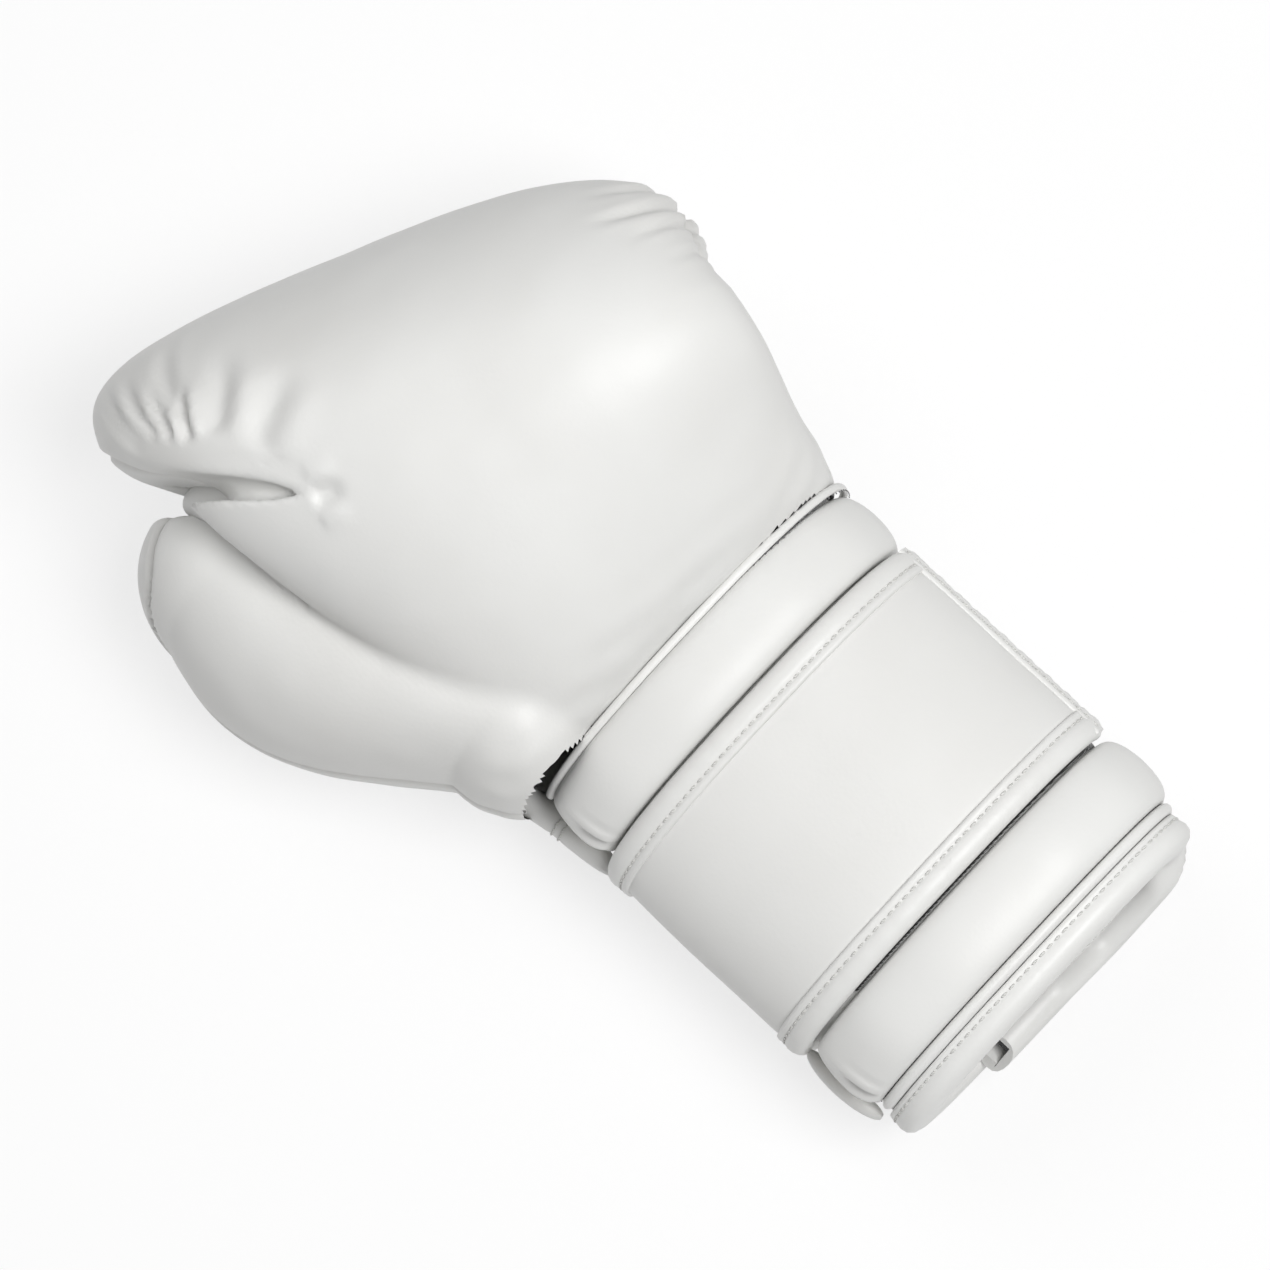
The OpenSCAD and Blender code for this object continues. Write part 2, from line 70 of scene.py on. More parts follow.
def linear(colour: str) -> tuple[float, float, float, float]:
    """Turns an sRGB hex colour into linear RGBA.

    Args:
        colour: The colour, such as "#DADAD8".

    Returns:
        Red, green and blue in linear light, and 1.
    """
    parts = [int(colour[i : i + 2], 16) / 255 for i in (1, 3, 5)]
    red, green, blue = (p / 12.92 if p <= 0.04045 else ((p + 0.055) / 1.055) ** 2.4 for p in parts)
    return red, green, blue, 1.0


def smooth(t: Array) -> Array:
    """Eases from 0 to 1."""
    t = np.clip(t, 0.0, 1.0)
    return t * t * (3 - 2 * t)


def mix(a: Array, b: Array, t: Array) -> Array:
    """Goes from a to b."""
    return a + (b - a) * t


def power(value: Array, exponent: float) -> Array:
    """Raises a value to a power and keeps its sign."""
    return np.sign(value) * np.abs(value) ** exponent


def soft_min(a: Array, b: Array, width: Array) -> Array:
    """Joins two fields with a fillet.

    Args:
        a: Distance to the first form.
        b: Distance to the second form.
        width: How far the fillet reaches.

    Returns:
        The distance to both.
    """
    h = np.clip(1 - np.abs(a - b) / width, 0, 1)
    return np.minimum(a, b) - h * h * width / 4


def soft_max(a: Array, b: Array, width: Array) -> Array:
    """Cuts one field by another with a rounded edge."""
    return -soft_min(-a, -b, width)


def add_node(tree: bpy.types.NodeTree, kind: str, inputs: dict | None = None, **settings: object) -> bpy.types.Node:
    """Adds a node with its settings, values and links.

    Args:
        tree: The node tree.
        kind: The node's type.
        inputs: A value or an output socket for each input, by name or number.
        **settings: The node's own properties.

    Returns:
        The node.
    """
    node = tree.nodes.new(kind)
    for name, value in settings.items():
        setattr(node, name, value)
    for key, value in (inputs or {}).items():
        if isinstance(value, bpy.types.NodeSocket):
            tree.links.new(value, node.inputs[key])
        else:
            node.inputs[key].default_value = value
    return node


def make_mesh(name: str, points: Array, faces: Sequence[Sequence[int]], finish: "Finish") -> bpy.types.Object:
    """Makes a smooth-shaded object from points in millimetres.

    Args:
        name: The piece's name.
        points: One row of x, y and z for each vertex.
        faces: Vertex numbers of each face.
        finish: What the piece is made of.

    Returns:
        The object, at the origin.
    """
    mesh = bpy.data.meshes.new(name)
    mesh.from_pydata((np.asarray(points, float).reshape(-1, 3) * MM).tolist(), [], [list(f) for f in faces])
    mesh.validate()
    mesh.shade_smooth()
    piece = bpy.data.objects.new(name, mesh)
    bpy.context.scene.collection.objects.link(piece)
    mesh.materials.append(finish.material())
    return piece


def face_outwards(piece: bpy.types.Object, weld: float = 1e-6) -> None:
    """Merges doubles and points a closed mesh's faces outwards."""
    bm = bmesh.new()
    bm.from_mesh(piece.data)
    bmesh.ops.remove_doubles(bm, verts=bm.verts, dist=weld)
    bmesh.ops.recalc_face_normals(bm, faces=bm.faces)
    bm.to_mesh(piece.data)
    bm.free()
    piece.data.shade_smooth()


def lattice(rows: int, cols: int, wrap_rows: bool = False, wrap_cols: bool = False) -> list[tuple[int, int, int, int]]:
    """Gives the quads of a grid of points.

    Args:
        rows: Number of rows.
        cols: Number of points in each row.
        wrap_rows: True if the last row joins the first.
        wrap_cols: True if each row is a ring.

    Returns:
        The faces.
    """
    return [
        (r * cols + c, r * cols + (c + 1) % cols, (r + 1) % rows * cols + (c + 1) % cols, (r + 1) % rows * cols + c)
        for r in range(rows if wrap_rows else rows - 1)
        for c in range(cols if wrap_cols else cols - 1)
    ]


def tube(name: str, rings: Array, finish: "Finish", closed: bool = False) -> bpy.types.Object:
    """Skins rings of points.

    Args:
        name: The piece's name.
        rings: An array of rings, points and coordinates.
        finish: What the piece is made of.
        closed: True if the last ring joins the first; otherwise both ends are capped with a hard edge.

    Returns:
        The closed piece.
    """
    rows, cols = rings.shape[:2]
    points = rings.reshape(-1, 3)
    faces: list[tuple[int, ...]] = list(lattice(rows, cols, closed, True))
    piece = make_mesh(name, points, faces, finish)
    face_outwards(piece)
    if not closed:
        bm = bmesh.new()
        bm.from_mesh(piece.data)
        rims = [e for e in bm.edges if e.is_boundary]
        caps = bmesh.ops.holes_fill(bm, edges=rims, sides=0)["faces"]
        for cap in caps:
            cap.smooth = False
        for edge in rims:
            edge.smooth = False
        bm.to_mesh(piece.data)
        bm.free()
    return piece


def waves(points: Array, size: float, seed: int) -> Array:
    """Gives a smooth uneven value from -1 to 1 at each point.

    Args:
        points: Points in millimetres.
        size: Distance between neighbouring swells, in millimetres.
        seed: Chooses the pattern.

    Returns:
        One value for each point.
    """
    rng = np.random.default_rng(seed)
    total = np.zeros(len(points))
    for _ in range(7):
        direction = rng.normal(size=3)
        direction *= 2 * math.pi / size / np.linalg.norm(direction)
        total += np.sin(points @ direction + rng.uniform(0, 2 * math.pi))
    return total / 7 * 1.6


# ---------------------------------------------------------------- finishes


class Finish:
    """A finish that makes its material once."""

    _made: dict[str, bpy.types.Material] = {}
    name: str

    def material(self) -> bpy.types.Material:
        """Gives the finish's material."""
        if self.name not in Finish._made:
            material = bpy.data.materials.new(self.name)
            material.use_nodes = True
            material.node_tree.nodes.clear()
            self.build(material.node_tree)
            Finish._made[self.name] = material
        return Finish._made[self.name]

    def build(self, tree: bpy.types.NodeTree) -> None:
        """Builds the node tree."""
        raise NotImplementedError


@dataclass(frozen=True)
class CoatedLeather(Finish):
    """Smooth microfibre leather: a polyurethane skin rolled with a very fine pebble, semi-matt, over soft foam."""

    name: str = "white_microfibre_leather"
    colour: str = "#E0E0DE"
    worn_and_seam_shade: str = "#D6D5D2"  # handled patches, and painted shade along the seam grooves
    grain_mm: float = 1.1  # real pebbles are about 0.5 mm; drawn twice as coarse so that they show
    grain_depth_mm: float = 0.035
    ripple_mm: float = 9.0
    roughness: float = 0.46

    def build(self, tree: bpy.types.NodeTree) -> None:
        """Fine pebble over a slow ripple, with slightly darker handled patches, and painted shade along the seam
        grooves.
        """
        where = add_node(tree, "ShaderNodeTexCoord").outputs["Object"]
        grain = add_node(
            tree, "ShaderNodeTexVoronoi", {"Vector": where, "Scale": 1 / (self.grain_mm * MM), "Randomness": 1.0},
            feature="SMOOTH_F1",
        )
        fibre = add_node(tree, "ShaderNodeTexNoise", {"Vector": where, "Scale": 1 / (0.45 * MM), "Detail": 2.0})
        ripple = add_node(tree, "ShaderNodeTexNoise", {"Vector": where, "Scale": 1 / (self.ripple_mm * MM), "Detail": 2.0})
        patch = add_node(tree, "ShaderNodeTexNoise", {"Vector": where, "Scale": 1 / (70 * MM), "Detail": 4.0})
        # seam_shade is painted shade: the leather darkens along the hand's seam grooves
        seam = add_node(tree, "ShaderNodeAttribute", attribute_name="seam_shade", attribute_type="GEOMETRY")
        handled = add_node(
            tree, "ShaderNodeMapRange", {"Value": patch.outputs[0], "From Min": 0.42, "From Max": 0.72, "To Max": 0.5}
        )
        shade = add_node(
            tree, "ShaderNodeMath", {0: handled.outputs[0], 1: seam.outputs["Fac"]}, operation="ADD", use_clamp=True
        )
        colour = add_node(
            tree, "ShaderNodeMix", {0: shade.outputs[0], 6: linear(self.colour), 7: linear(self.worn_and_seam_shade)}, data_type="RGBA"
        )
        rough = add_node(
            tree, "ShaderNodeMapRange",
            {"Value": ripple.outputs[0], "To Min": self.roughness - 0.05, "To Max": self.roughness + 0.06},
        )
        low = add_node(tree, "ShaderNodeBump", {"Height": ripple.outputs[0], "Distance": 0.16 * MM, "Strength": 0.5})
        mid = add_node(
            tree, "ShaderNodeBump",
            {"Height": grain.outputs["Distance"], "Distance": self.grain_depth_mm * MM, "Strength": 0.8,
             "Normal": low.outputs[0]},
        )
        fine = add_node(
            tree, "ShaderNodeBump",
            {"Height": fibre.outputs[0], "Distance": 0.02 * MM, "Strength": 0.5, "Normal": mid.outputs[0]},
        )
        shader = add_node(
            tree, "ShaderNodeBsdfPrincipled",
            {"Base Color": colour.outputs[2], "Roughness": rough.outputs[0], "IOR": 1.48, "Normal": fine.outputs[0]},
        )
        add_node(tree, "ShaderNodeOutputMaterial", {"Surface": shader.outputs[0]})


@dataclass(frozen=True)
class Fabric(Finish):
    """Woven or knitted cloth with its threads on the object's own axes."""

    name: str
    colour: str
    shadow: str
    thread_mm: float
    roughness: float = 0.9
    sheen: float = 0.3
    depth_mm: float = 0.2

    def build(self, tree: bpy.types.NodeTree) -> None:
        """Two crossed sets of threads, broken up by fuzz."""
        where = add_node(tree, "ShaderNodeTexCoord").outputs["Object"]
        scale = math.pi / (self.thread_mm * MM) / 10
        warp = add_node(
            tree, "ShaderNodeTexWave", {"Vector": where, "Scale": scale, "Distortion": 1.2, "Detail": 1.0},
            wave_type="BANDS", bands_direction="Y",
        )
        weft = add_node(
            tree, "ShaderNodeTexWave", {"Vector": where, "Scale": scale, "Distortion": 1.2, "Detail": 1.0},
            wave_type="BANDS", bands_direction="DIAGONAL",
        )
        fuzz = add_node(tree, "ShaderNodeTexNoise", {"Vector": where, "Scale": 1 / (1.3 * MM), "Detail": 3.0})
        cloth = add_node(tree, "ShaderNodeMath", {0: warp.outputs[1], 1: weft.outputs[1]}, operation="MULTIPLY")
        height = add_node(tree, "ShaderNodeMath", {0: cloth.outputs[0], 1: fuzz.outputs[0]}, operation="ADD")
        colour = add_node(
            tree, "ShaderNodeMix", {0: height.outputs[0], 6: linear(self.shadow), 7: linear(self.colour)},
            data_type="RGBA", clamp_factor=True,
        )
        bump = add_node(
            tree, "ShaderNodeBump", {"Height": height.outputs[0], "Distance": self.depth_mm * MM, "Strength": 0.6}
        )
        shader = add_node(
            tree, "ShaderNodeBsdfPrincipled",
            {"Base Color": colour.outputs[2], "Roughness": self.roughness, "IOR": 1.45, "Sheen Weight": self.sheen,
             "Sheen Roughness": 0.5, "Normal": bump.outputs[0]},
        )
        add_node(tree, "ShaderNodeOutputMaterial", {"Surface": shader.outputs[0]})


@dataclass(frozen=True)
class Thread(Finish):
    """Bonded polyester thread: three twisted plies with a low sheen."""

    name: str = "white_polyester_thread"
    colour: str = "#D8D8D5"
    ply_mm: float = 0.5

    def build(self, tree: bpy.types.NodeTree) -> None:
        """Slanting plies as fine bands, with painted shade in the grooves between them."""
        where = add_node(tree, "ShaderNodeTexCoord").outputs["Object"]
        plies = add_node(
            tree, "ShaderNodeTexWave", {"Vector": where, "Scale": math.pi / (self.ply_mm * MM) / 10, "Distortion": 0.5},
            bands_direction="DIAGONAL",
        )
        # painted shade: #BDBDB9 darkens the grooves between the plies
        tone = add_node(
            tree, "ShaderNodeMix", {0: plies.outputs[1], 6: linear("#BDBDB9"), 7: linear(self.colour)}, data_type="RGBA"
        )
        bump = add_node(tree, "ShaderNodeBump", {"Height": plies.outputs[1], "Distance": 0.08 * MM, "Strength": 0.5})
        shader = add_node(
            tree, "ShaderNodeBsdfPrincipled",
            {"Base Color": tone.outputs[2], "Roughness": 0.55, "IOR": 1.5, "Normal": bump.outputs[0]},
        )
        add_node(tree, "ShaderNodeOutputMaterial", {"Surface": shader.outputs[0]})


@dataclass(frozen=True)
class Plain(Finish):
    """A mottled matt finish for what is hardly seen: the painted shadows of needle holes, and raw foam."""

    name: str
    colour: str
    dark: str
    mottle_mm: float = 1.5
    roughness: float = 0.9

    def build(self, tree: bpy.types.NodeTree) -> None:
        """Small cells in two tones."""
        where = add_node(tree, "ShaderNodeTexCoord").outputs["Object"]
        cells = add_node(tree, "ShaderNodeTexVoronoi", {"Vector": where, "Scale": 1 / (self.mottle_mm * MM)})
        tone = add_node(
            tree, "ShaderNodeMix", {0: cells.outputs["Distance"], 6: linear(self.dark), 7: linear(self.colour)},
            data_type="RGBA", clamp_factor=True,
        )
        bump = add_node(tree, "ShaderNodeBump", {"Height": cells.outputs["Distance"], "Distance": 0.2 * MM, "Strength": 0.5})
        shader = add_node(
            tree, "ShaderNodeBsdfPrincipled",
            {"Base Color": tone.outputs[2], "Roughness": self.roughness, "Normal": bump.outputs[0]},
        )
        add_node(tree, "ShaderNodeOutputMaterial", {"Surface": shader.outputs[0]})


@dataclass(frozen=True)
class StudioPaper(Finish):
    """White seamless paper: matt, and white to the camera and to reflections."""

    name: str = "studio_paper"
    colour: str = "#F4F4F4"

    def build(self, tree: bpy.types.NodeTree) -> None:
        """Part of the paper's white doesn't depend on the lamps, and the rest keeps the soft shadow."""
        path = add_node(tree, "ShaderNodeLightPath")
        seen = add_node(
            tree, "ShaderNodeMath", {0: path.outputs["Is Camera Ray"], 1: path.outputs["Is Glossy Ray"]},
            operation="ADD", use_clamp=True,
        )
        share = add_node(tree, "ShaderNodeMath", {0: seen.outputs[0], 1: 0.72}, operation="MULTIPLY")
        paper = add_node(tree, "ShaderNodeBsdfDiffuse", {"Color": linear(self.colour), "Roughness": 0.8})
        glow = add_node(tree, "ShaderNodeEmission", {"Color": linear("#FFFFFF"), "Strength": 1.0})
        both = add_node(tree, "ShaderNodeMixShader", {0: share.outputs[0], 1: paper.outputs[0], 2: glow.outputs[0]})
        add_node(tree, "ShaderNodeOutputMaterial", {"Surface": both.outputs[0]})


LEATHER = CoatedLeather()
TRIM = CoatedLeather(name="white_binding_leather", colour="#E2E2E0", worn_and_seam_shade="#D4D3D0", grain_mm=0.9, ripple_mm=5.0, roughness=0.42)
THREAD = Thread()
LINING = Fabric(name="black_nylon_lining", colour="#1C1C1E", shadow="#0B0B0C", thread_mm=0.6)
ELASTIC = Fabric(name="black_ribbed_elastic", colour="#242426", shadow="#0F0F10", thread_mm=1.4, depth_mm=0.4)
LOOP_PILE = Fabric(name="black_loop_pile", colour="#1A1A1B", shadow="#050505", thread_mm=0.8, sheen=0.6, depth_mm=0.5)
HOOK_TAPE = Fabric(name="black_hook_tape", colour="#202022", shadow="#08080A", thread_mm=1.6, roughness=0.6, sheen=0.1)
FOAM = Plain(name="layered_latex_foam", colour="#D9D6CC", dark="#BDB8A8")
# painted shadow: the dark tone standing for the shade inside needle holes
HOLE_SHADOW_FINISH = Plain(name="needle_hole_shadow", colour="#77777A", dark="#5C5C5E")
PAPER = StudioPaper()


class Slot(Enum):
    """The record's material slots."""

    LEATHER = "leather"
    BINDING = "binding_leather"
    LINING = "lining"
    ELASTIC = "elastic"
    FASTENER = "hook_and_loop"
    FOAM = "foam"


# ---------------------------------------------------------------- stitching


class StitchTree:
    """A Geometry Nodes tree that lays stitches along polylines."""

    _tree: bpy.types.NodeTree | None = None

    @classmethod
    def tree(cls) -> bpy.types.NodeTree:
        """Builds the tree once.

        Returns:
            The tree, with inputs for pitch, length, width, height and material.
        """
        if cls._tree:
            return cls._tree
        tree = bpy.data.node_groups.new("stitch_row", "GeometryNodeTree")
        face = tree.interface
        face.new_socket("Geometry", in_out="INPUT", socket_type="NodeSocketGeometry")
        for name, value in (("Pitch", 3.0), ("Length", 2.2), ("Width", 0.8), ("Height", 0.7)):
            face.new_socket(name, in_out="INPUT", socket_type="NodeSocketFloat").default_value = value * MM
        face.new_socket("Finish", in_out="INPUT", socket_type="NodeSocketMaterial")
        face.new_socket("Geometry", in_out="OUTPUT", socket_type="NodeSocketGeometry")
        given = add_node(tree, "NodeGroupInput")
        line = add_node(tree, "GeometryNodeMeshToCurve", {"Mesh": given.outputs["Geometry"]})
        even = add_node(
            tree, "GeometryNodeResampleCurve", {"Curve": line.outputs[0], "Length": given.outputs["Pitch"]}, mode="LENGTH"
        )
        bead = add_node(tree, "GeometryNodeMeshUVSphere", {"Segments": 8, "Rings": 5, "Radius": 0.5})
        size = add_node(
            tree, "ShaderNodeCombineXYZ",
            {0: given.outputs["Length"], 1: given.outputs["Width"], 2: given.outputs["Height"]},
        )
        stitch = add_node(tree, "GeometryNodeTransform", {"Geometry": bead.outputs[0], "Scale": size.outputs[0]})
        along = add_node(tree, "GeometryNodeInputTangent")
        up = add_node(tree, "GeometryNodeInputNamedAttribute", {"Name": "up"}, data_type="FLOAT_VECTOR")
        turn = add_node(tree, "FunctionNodeAlignRotationToVector", {"Vector": along.outputs[0]}, axis="X")
        level = add_node(
            tree, "FunctionNodeAlignRotationToVector", {"Rotation": turn.outputs[0], "Vector": up.outputs[0]},
            axis="Z", pivot_axis="X",
        )
        laid = add_node(
            tree, "GeometryNodeInstanceOnPoints",
            {"Points": even.outputs[0], "Instance": stitch.outputs[0], "Rotation": level.outputs[0]},
        )
        real = add_node(tree, "GeometryNodeRealizeInstances", {0: laid.outputs[0]})
        soft = add_node(tree, "GeometryNodeSetShadeSmooth", {0: real.outputs[0]})
        dressed = add_node(
            tree, "GeometryNodeSetMaterial", {"Geometry": soft.outputs[0], "Material": given.outputs["Finish"]}
        )
        add_node(tree, "NodeGroupOutput", {0: dressed.outputs[0]})
        cls._tree = tree
        return tree


@dataclass(frozen=True)
class Stitching:
    """Sizes of one kind of stitching, in millimetres."""

    pitch: float = 2.9
    length: float = 2.3
    width: float = 0.75
    height: float = 0.6
    finish: Finish = THREAD

    def sew(self, name: str, lines: Sequence[tuple[Array, Array]]) -> bpy.types.Object:
        """Lays stitches along lines.

        Args:
            name: The piece's name.
            lines: For each line its points and the direction away from the leather at each, in millimetres.

        Returns:
            A plain mesh object.
        """
        guide = bpy.data.meshes.new(name + "_guide")
        points, ups, edges = [], [], []
        for line, up in lines:
            first = len(points)
            points += (np.asarray(line) * MM).tolist()
            ups += np.broadcast_to(up, np.shape(line)).tolist()
            edges += [(first + i, first + i + 1) for i in range(len(line) - 1)]
        guide.from_pydata(points, edges, [])
        guide.attributes.new("up", "FLOAT_VECTOR", "POINT").data.foreach_set("vector", np.ravel(ups))
        holder = bpy.data.objects.new(name + "_guide", guide)
        bpy.context.scene.collection.objects.link(holder)
        modifier = holder.modifiers.new("stitches", "NODES")
        modifier.node_group = StitchTree.tree()
        sizes = {"Pitch": self.pitch, "Length": self.length, "Width": self.width, "Height": self.height}
        for item in modifier.node_group.interface.items_tree:
            if item.in_out == "INPUT" and item.name in sizes:
                modifier[item.identifier] = sizes[item.name] * MM
            elif item.in_out == "INPUT" and item.name == "Finish":
                modifier[item.identifier] = self.finish.material()
        holder.update_tag()
        graph = bpy.context.evaluated_depsgraph_get()
        mesh = bpy.data.meshes.new_from_object(holder.evaluated_get(graph))
        mesh.name = name
        piece = bpy.data.objects.new(name, mesh)
        bpy.context.scene.collection.objects.link(piece)
        bpy.data.objects.remove(holder)
        if not mesh.materials:
            mesh.materials.append(self.finish.material())
        return piece


TOPSTITCH = Stitching()
# painted shadows: dark beads laid where the needle holes are
NEEDLE_HOLE_SHADOWS = Stitching(pitch=2.3, length=0.85, width=0.6, height=0.3, finish=HOLE_SHADOW_FINISH)
CROSS_STITCH = Stitching(pitch=2.3, length=2.5, width=0.85, height=0.9)


# ---------------------------------------------------------------- the cuff


@dataclass(frozen=True)
class CuffShape:
    """The cuff's oval: angle 0 is the little-finger side, 90 the back of the hand and 180 the thumb side."""

    half_w: float = 54.0
    half_h: float = 34.0
    roundness: float = 2 / 2.4
    flap_bend: float = -68.0
    flap_turn: float = 24.0
    flap_drop: float = 13.5

    def point(self, angle: Array, y: Array, out: Array) -> Array:
        """Gives points over the cuff wall.

        Args:
            angle: Angles round the cuff, in degrees.
            y: Distance from the rim.
            out: Height over the wall.

        Returns:
            Points in millimetres.
        """
        angle, y, out = np.broadcast_arrays(np.radians(angle), y, out)
        x = (self.half_w + out) * power(np.cos(angle), self.roundness)
        z = (self.half_h + out) * power(np.sin(angle), self.roundness)
        return np.stack([x, y, z], axis=-1)

    def drop(self, angle: Array) -> Array:
        """Gives how far the tucked palm flap lies inside the other."""
        return -self.flap_drop * smooth((self.flap_bend - np.asarray(angle, float)) / self.flap_turn)

    def rim_reach(self, angle: Array) -> Array:
        """Gives how far the little-finger side's palm flap stands past the rim."""
        return -4.5 * smooth((-np.asarray(angle, float) - 12) / 26)

    def outward(self, angle: Array) -> Array:
        """Gives the direction away from the wall."""
        angle = np.radians(np.asarray(angle, float))
        m = 2 / self.roundness
        x, z = power(np.cos(angle), self.roundness), power(np.sin(angle), self.roundness)
        n = np.stack([power(x, m - 1) / self.half_w, 0 * x, power(z, m - 1) / self.half_h], axis=-1)
        return n / np.linalg.norm(n, axis=-1, keepdims=True)

    def even_angles(self, start: float, stop: float, step: float, out: float = 5.0) -> Array:
        """Gives angles whose points are evenly spaced along the oval.

        Args:
            start: First angle.
            stop: Last angle.
            step: Spacing in millimetres.
            out: Height over the wall at which the spacing holds.

        Returns:
            The angles.
        """
        fine = np.linspace(start, stop, 1500)
        p = self.point(fine, 0, out)
        run = np.concatenate([[0], np.cumsum(np.linalg.norm(np.diff(p, axis=0), axis=1))])
        return np.interp(np.linspace(0, run[-1], max(2, int(run[-1] / step) + 1)), run, fine)


CUFF = CuffShape()


def sweep(name: str, angles: Array, profile: Callable[[float, float], tuple[Array, Array]], finish: Finish,
          closed: bool = False, tuck: bool = False) -> bpy.types.Object:
    """Carries a closed profile round the cuff.

    Args:
        name: The piece's name.
        angles: Angles of the rings.
        profile: Gives the profile's y and height at an angle and at a share of the way.
        finish: What the piece is made of.
        closed: True if the piece goes all the way round.
        tuck: True if the piece follows the tucked palm flap.

    Returns:
        The piece.
    """
    rings = []
    for i, angle in enumerate(angles):
        y, out = profile(float(angle), i / (len(angles) - 1))
        rings.append(CUFF.point(angle, y, out + (CUFF.drop(angle) if tuck else 0)))
    return tube(name, np.array(rings), finish, closed)


def closed_profile(outer: Sequence[tuple[float, float]], inner: Sequence[tuple[float, float]]) -> tuple[Array, Array]:
    """Joins an outer line and an inner line of y and height into one ring."""
    ring = np.array(list(outer) + list(inner)[::-1], float)
    return ring[:, 0], ring[:, 1]


@dataclass
class Cuff:
    """The padded tube round the wrist, open along the palm, with its bound rim, rolls and gusset."""

    slit: float = 103.8
    length: float = 132.8
    wall: float = 9.4
    rim_w: float = 8.0
    lower_roll: tuple[float, float] = (11.8, 23.0)
    upper_roll: tuple[float, float] = (110.8, 22.4)
    roll_h: float = 7.0
    roll_from: float = -48.0
    roll_to: float = 168.0
    flap_from: float = -128.0
    flap_to: float = 254.0

    def build(self) -> None:
        """Builds all pieces and rides them on the glove."""
        self.walls()
        self.rim()
        self.rolls()
        self.gussets()
        self.fasteners()

    def walls(self) -> None:
        """The leather outside, the cloth inside and the elastic between the palm flaps."""
        angles = CUFF.even_angles(self.flap_from, self.flap_to, 3)
        cover = sweep("cuff_leather", angles, lambda a, t: closed_profile(
            [(1.9 + float(CUFF.rim_reach(a)), 0), (30, 0.1), (70, 0.2), (self.slit, 0)],
            [(1.9 + float(CUFF.rim_reach(a)), -1.6), (30, -1.6), (70, -1.6), (self.slit, -1.6)]), LEATHER, tuck=True)
        ring = np.linspace(0, 360, 121)[:-1]
        collar = sweep("cuff_collar_leather", ring, lambda a, t: closed_profile(
            [(self.slit, 0), (115, 0.1), (self.length, 0), (self.length + 2.2, 1.5)],
            [(self.slit, -1.6), (115, -1.6), (self.length, -1.6), (self.length + 2.2, -0.5)]), LEATHER, closed=True)
        inside = sweep("cuff_lining_cloth", angles, lambda a, t: closed_profile(
            [(1.9 + float(CUFF.rim_reach(a)), -8.1), (40, -8.0), (self.slit, -8.1)],
            [(1.9 + float(CUFF.rim_reach(a)), -9.3), (40, -9.2), (self.slit, -9.3)]), LINING, tuck=True)
        sleeve = sweep("cuff_lining_sleeve", ring, lambda a, t: closed_profile(
            [(self.slit, -8.1), (118, -8.0), (self.length + 4, -8.1)],
            [(self.slit, -9.3), (118, -9.2), (self.length + 4, -9.3)]), LINING, closed=True)
        knit = sweep("slit_elastic", np.linspace(self.flap_from + 2, -108, 12), lambda a, t: closed_profile(
            [(36, -10.0), (70, -10.3), (103.5, -10.0)], [(36, -11), (70, -11.3), (103.5, -11)]), ELASTIC)
        for piece, nodes, slot in (
            (cover, ["cuff_cover"], Slot.LEATHER), (collar, ["cuff_cover"], Slot.LEATHER),
            (inside, ["cuff_lining"], Slot.LINING), (sleeve, ["cuff_lining"], Slot.LINING),
            (knit, ["elastic_gusset"], Slot.ELASTIC)):
            finish_piece(piece, "glove", nodes)

    def rim(self) -> None:
        """The folded binding round the rim, the piping beside it and their stitches."""
        angles = CUFF.even_angles(self.flap_from, self.flap_to, 1.8)

        def bound(angle: float, t: float) -> tuple[Array, Array]:
            """Gives the binding's section: outside band, rounded rim and inside band."""
            crumple = 0.5 * math.sin(angle * 1.1) * math.exp(-((angle + 20) / 22) ** 2)
            outer = [(self.rim_w, 0.2), (self.rim_w - 0.1, 1.7), (6.6, 2.0), (6.0, 1.6), (5.4, 2.0), (3.5, 2.3 + crumple),
                     (1.6, 1.9 + crumple), (0.3, 0.6 + crumple), (-0.5, -1.8), (-0.8, -4.6), (-0.5, -7.6), (0.5, -9.9),
                     (2.0, -11.1), (4.0, -11.4), (5.4, -11.2), (6.0, -10.9), (6.6, -11.2), (self.rim_w, -10.9)]
            inner = [(self.rim_w, 0.0), (1.7, 0.0), (1.7, -9.6), (self.rim_w, -9.6)]
            y, out = closed_profile(outer, inner)
            return y + float(CUFF.rim_reach(angle)), out

        band = sweep("rim_binding_leather", angles, bound, TRIM, tuck=True)
        finish_piece(band, "glove", ["rim_binding"])
        cord_angles = CUFF.even_angles(self.roll_from, self.roll_to, 2)

        def cord(angle: float, t: float) -> tuple[Array, Array]:
            """Gives the piping's round section, drawn in at both ends."""
            turn = np.linspace(0, 2 * math.pi, 12, endpoint=False)
            r = 1.75 * min(1, 25 * min(t, 1 - t) + 0.3)
            return 9.9 + r * np.cos(turn), 1.3 + r * 1.15 * np.sin(turn)

        finish_piece(sweep("rim_piping_leather", cord_angles, cord, TRIM), "glove", ["rim_piping"])
        line = CUFF.even_angles(self.flap_from + 1, self.flap_to - 1, 2)
        outside = CUFF.point(line, 6.0 + CUFF.rim_reach(line), 1.9 + CUFF.drop(line))
        inside = CUFF.point(line, 6.0 + CUFF.rim_reach(line), -11.2 + CUFF.drop(line))
        finish_piece(TOPSTITCH.sew("rim_stitches", [(outside, CUFF.outward(line)), (inside, -CUFF.outward(line))]),
                     "glove", [])
        # painted shadows of the needle holes in the seam at the lower roll's edge
        holes = CUFF.even_angles(self.roll_from + 3, self.roll_to - 3, 2)
        finish_piece(NEEDLE_HOLE_SHADOWS.sew("lower_seam_hole_shadows", [(CUFF.point(holes, 11.9, 1.6), CUFF.outward(holes))]),
                     "glove", [])

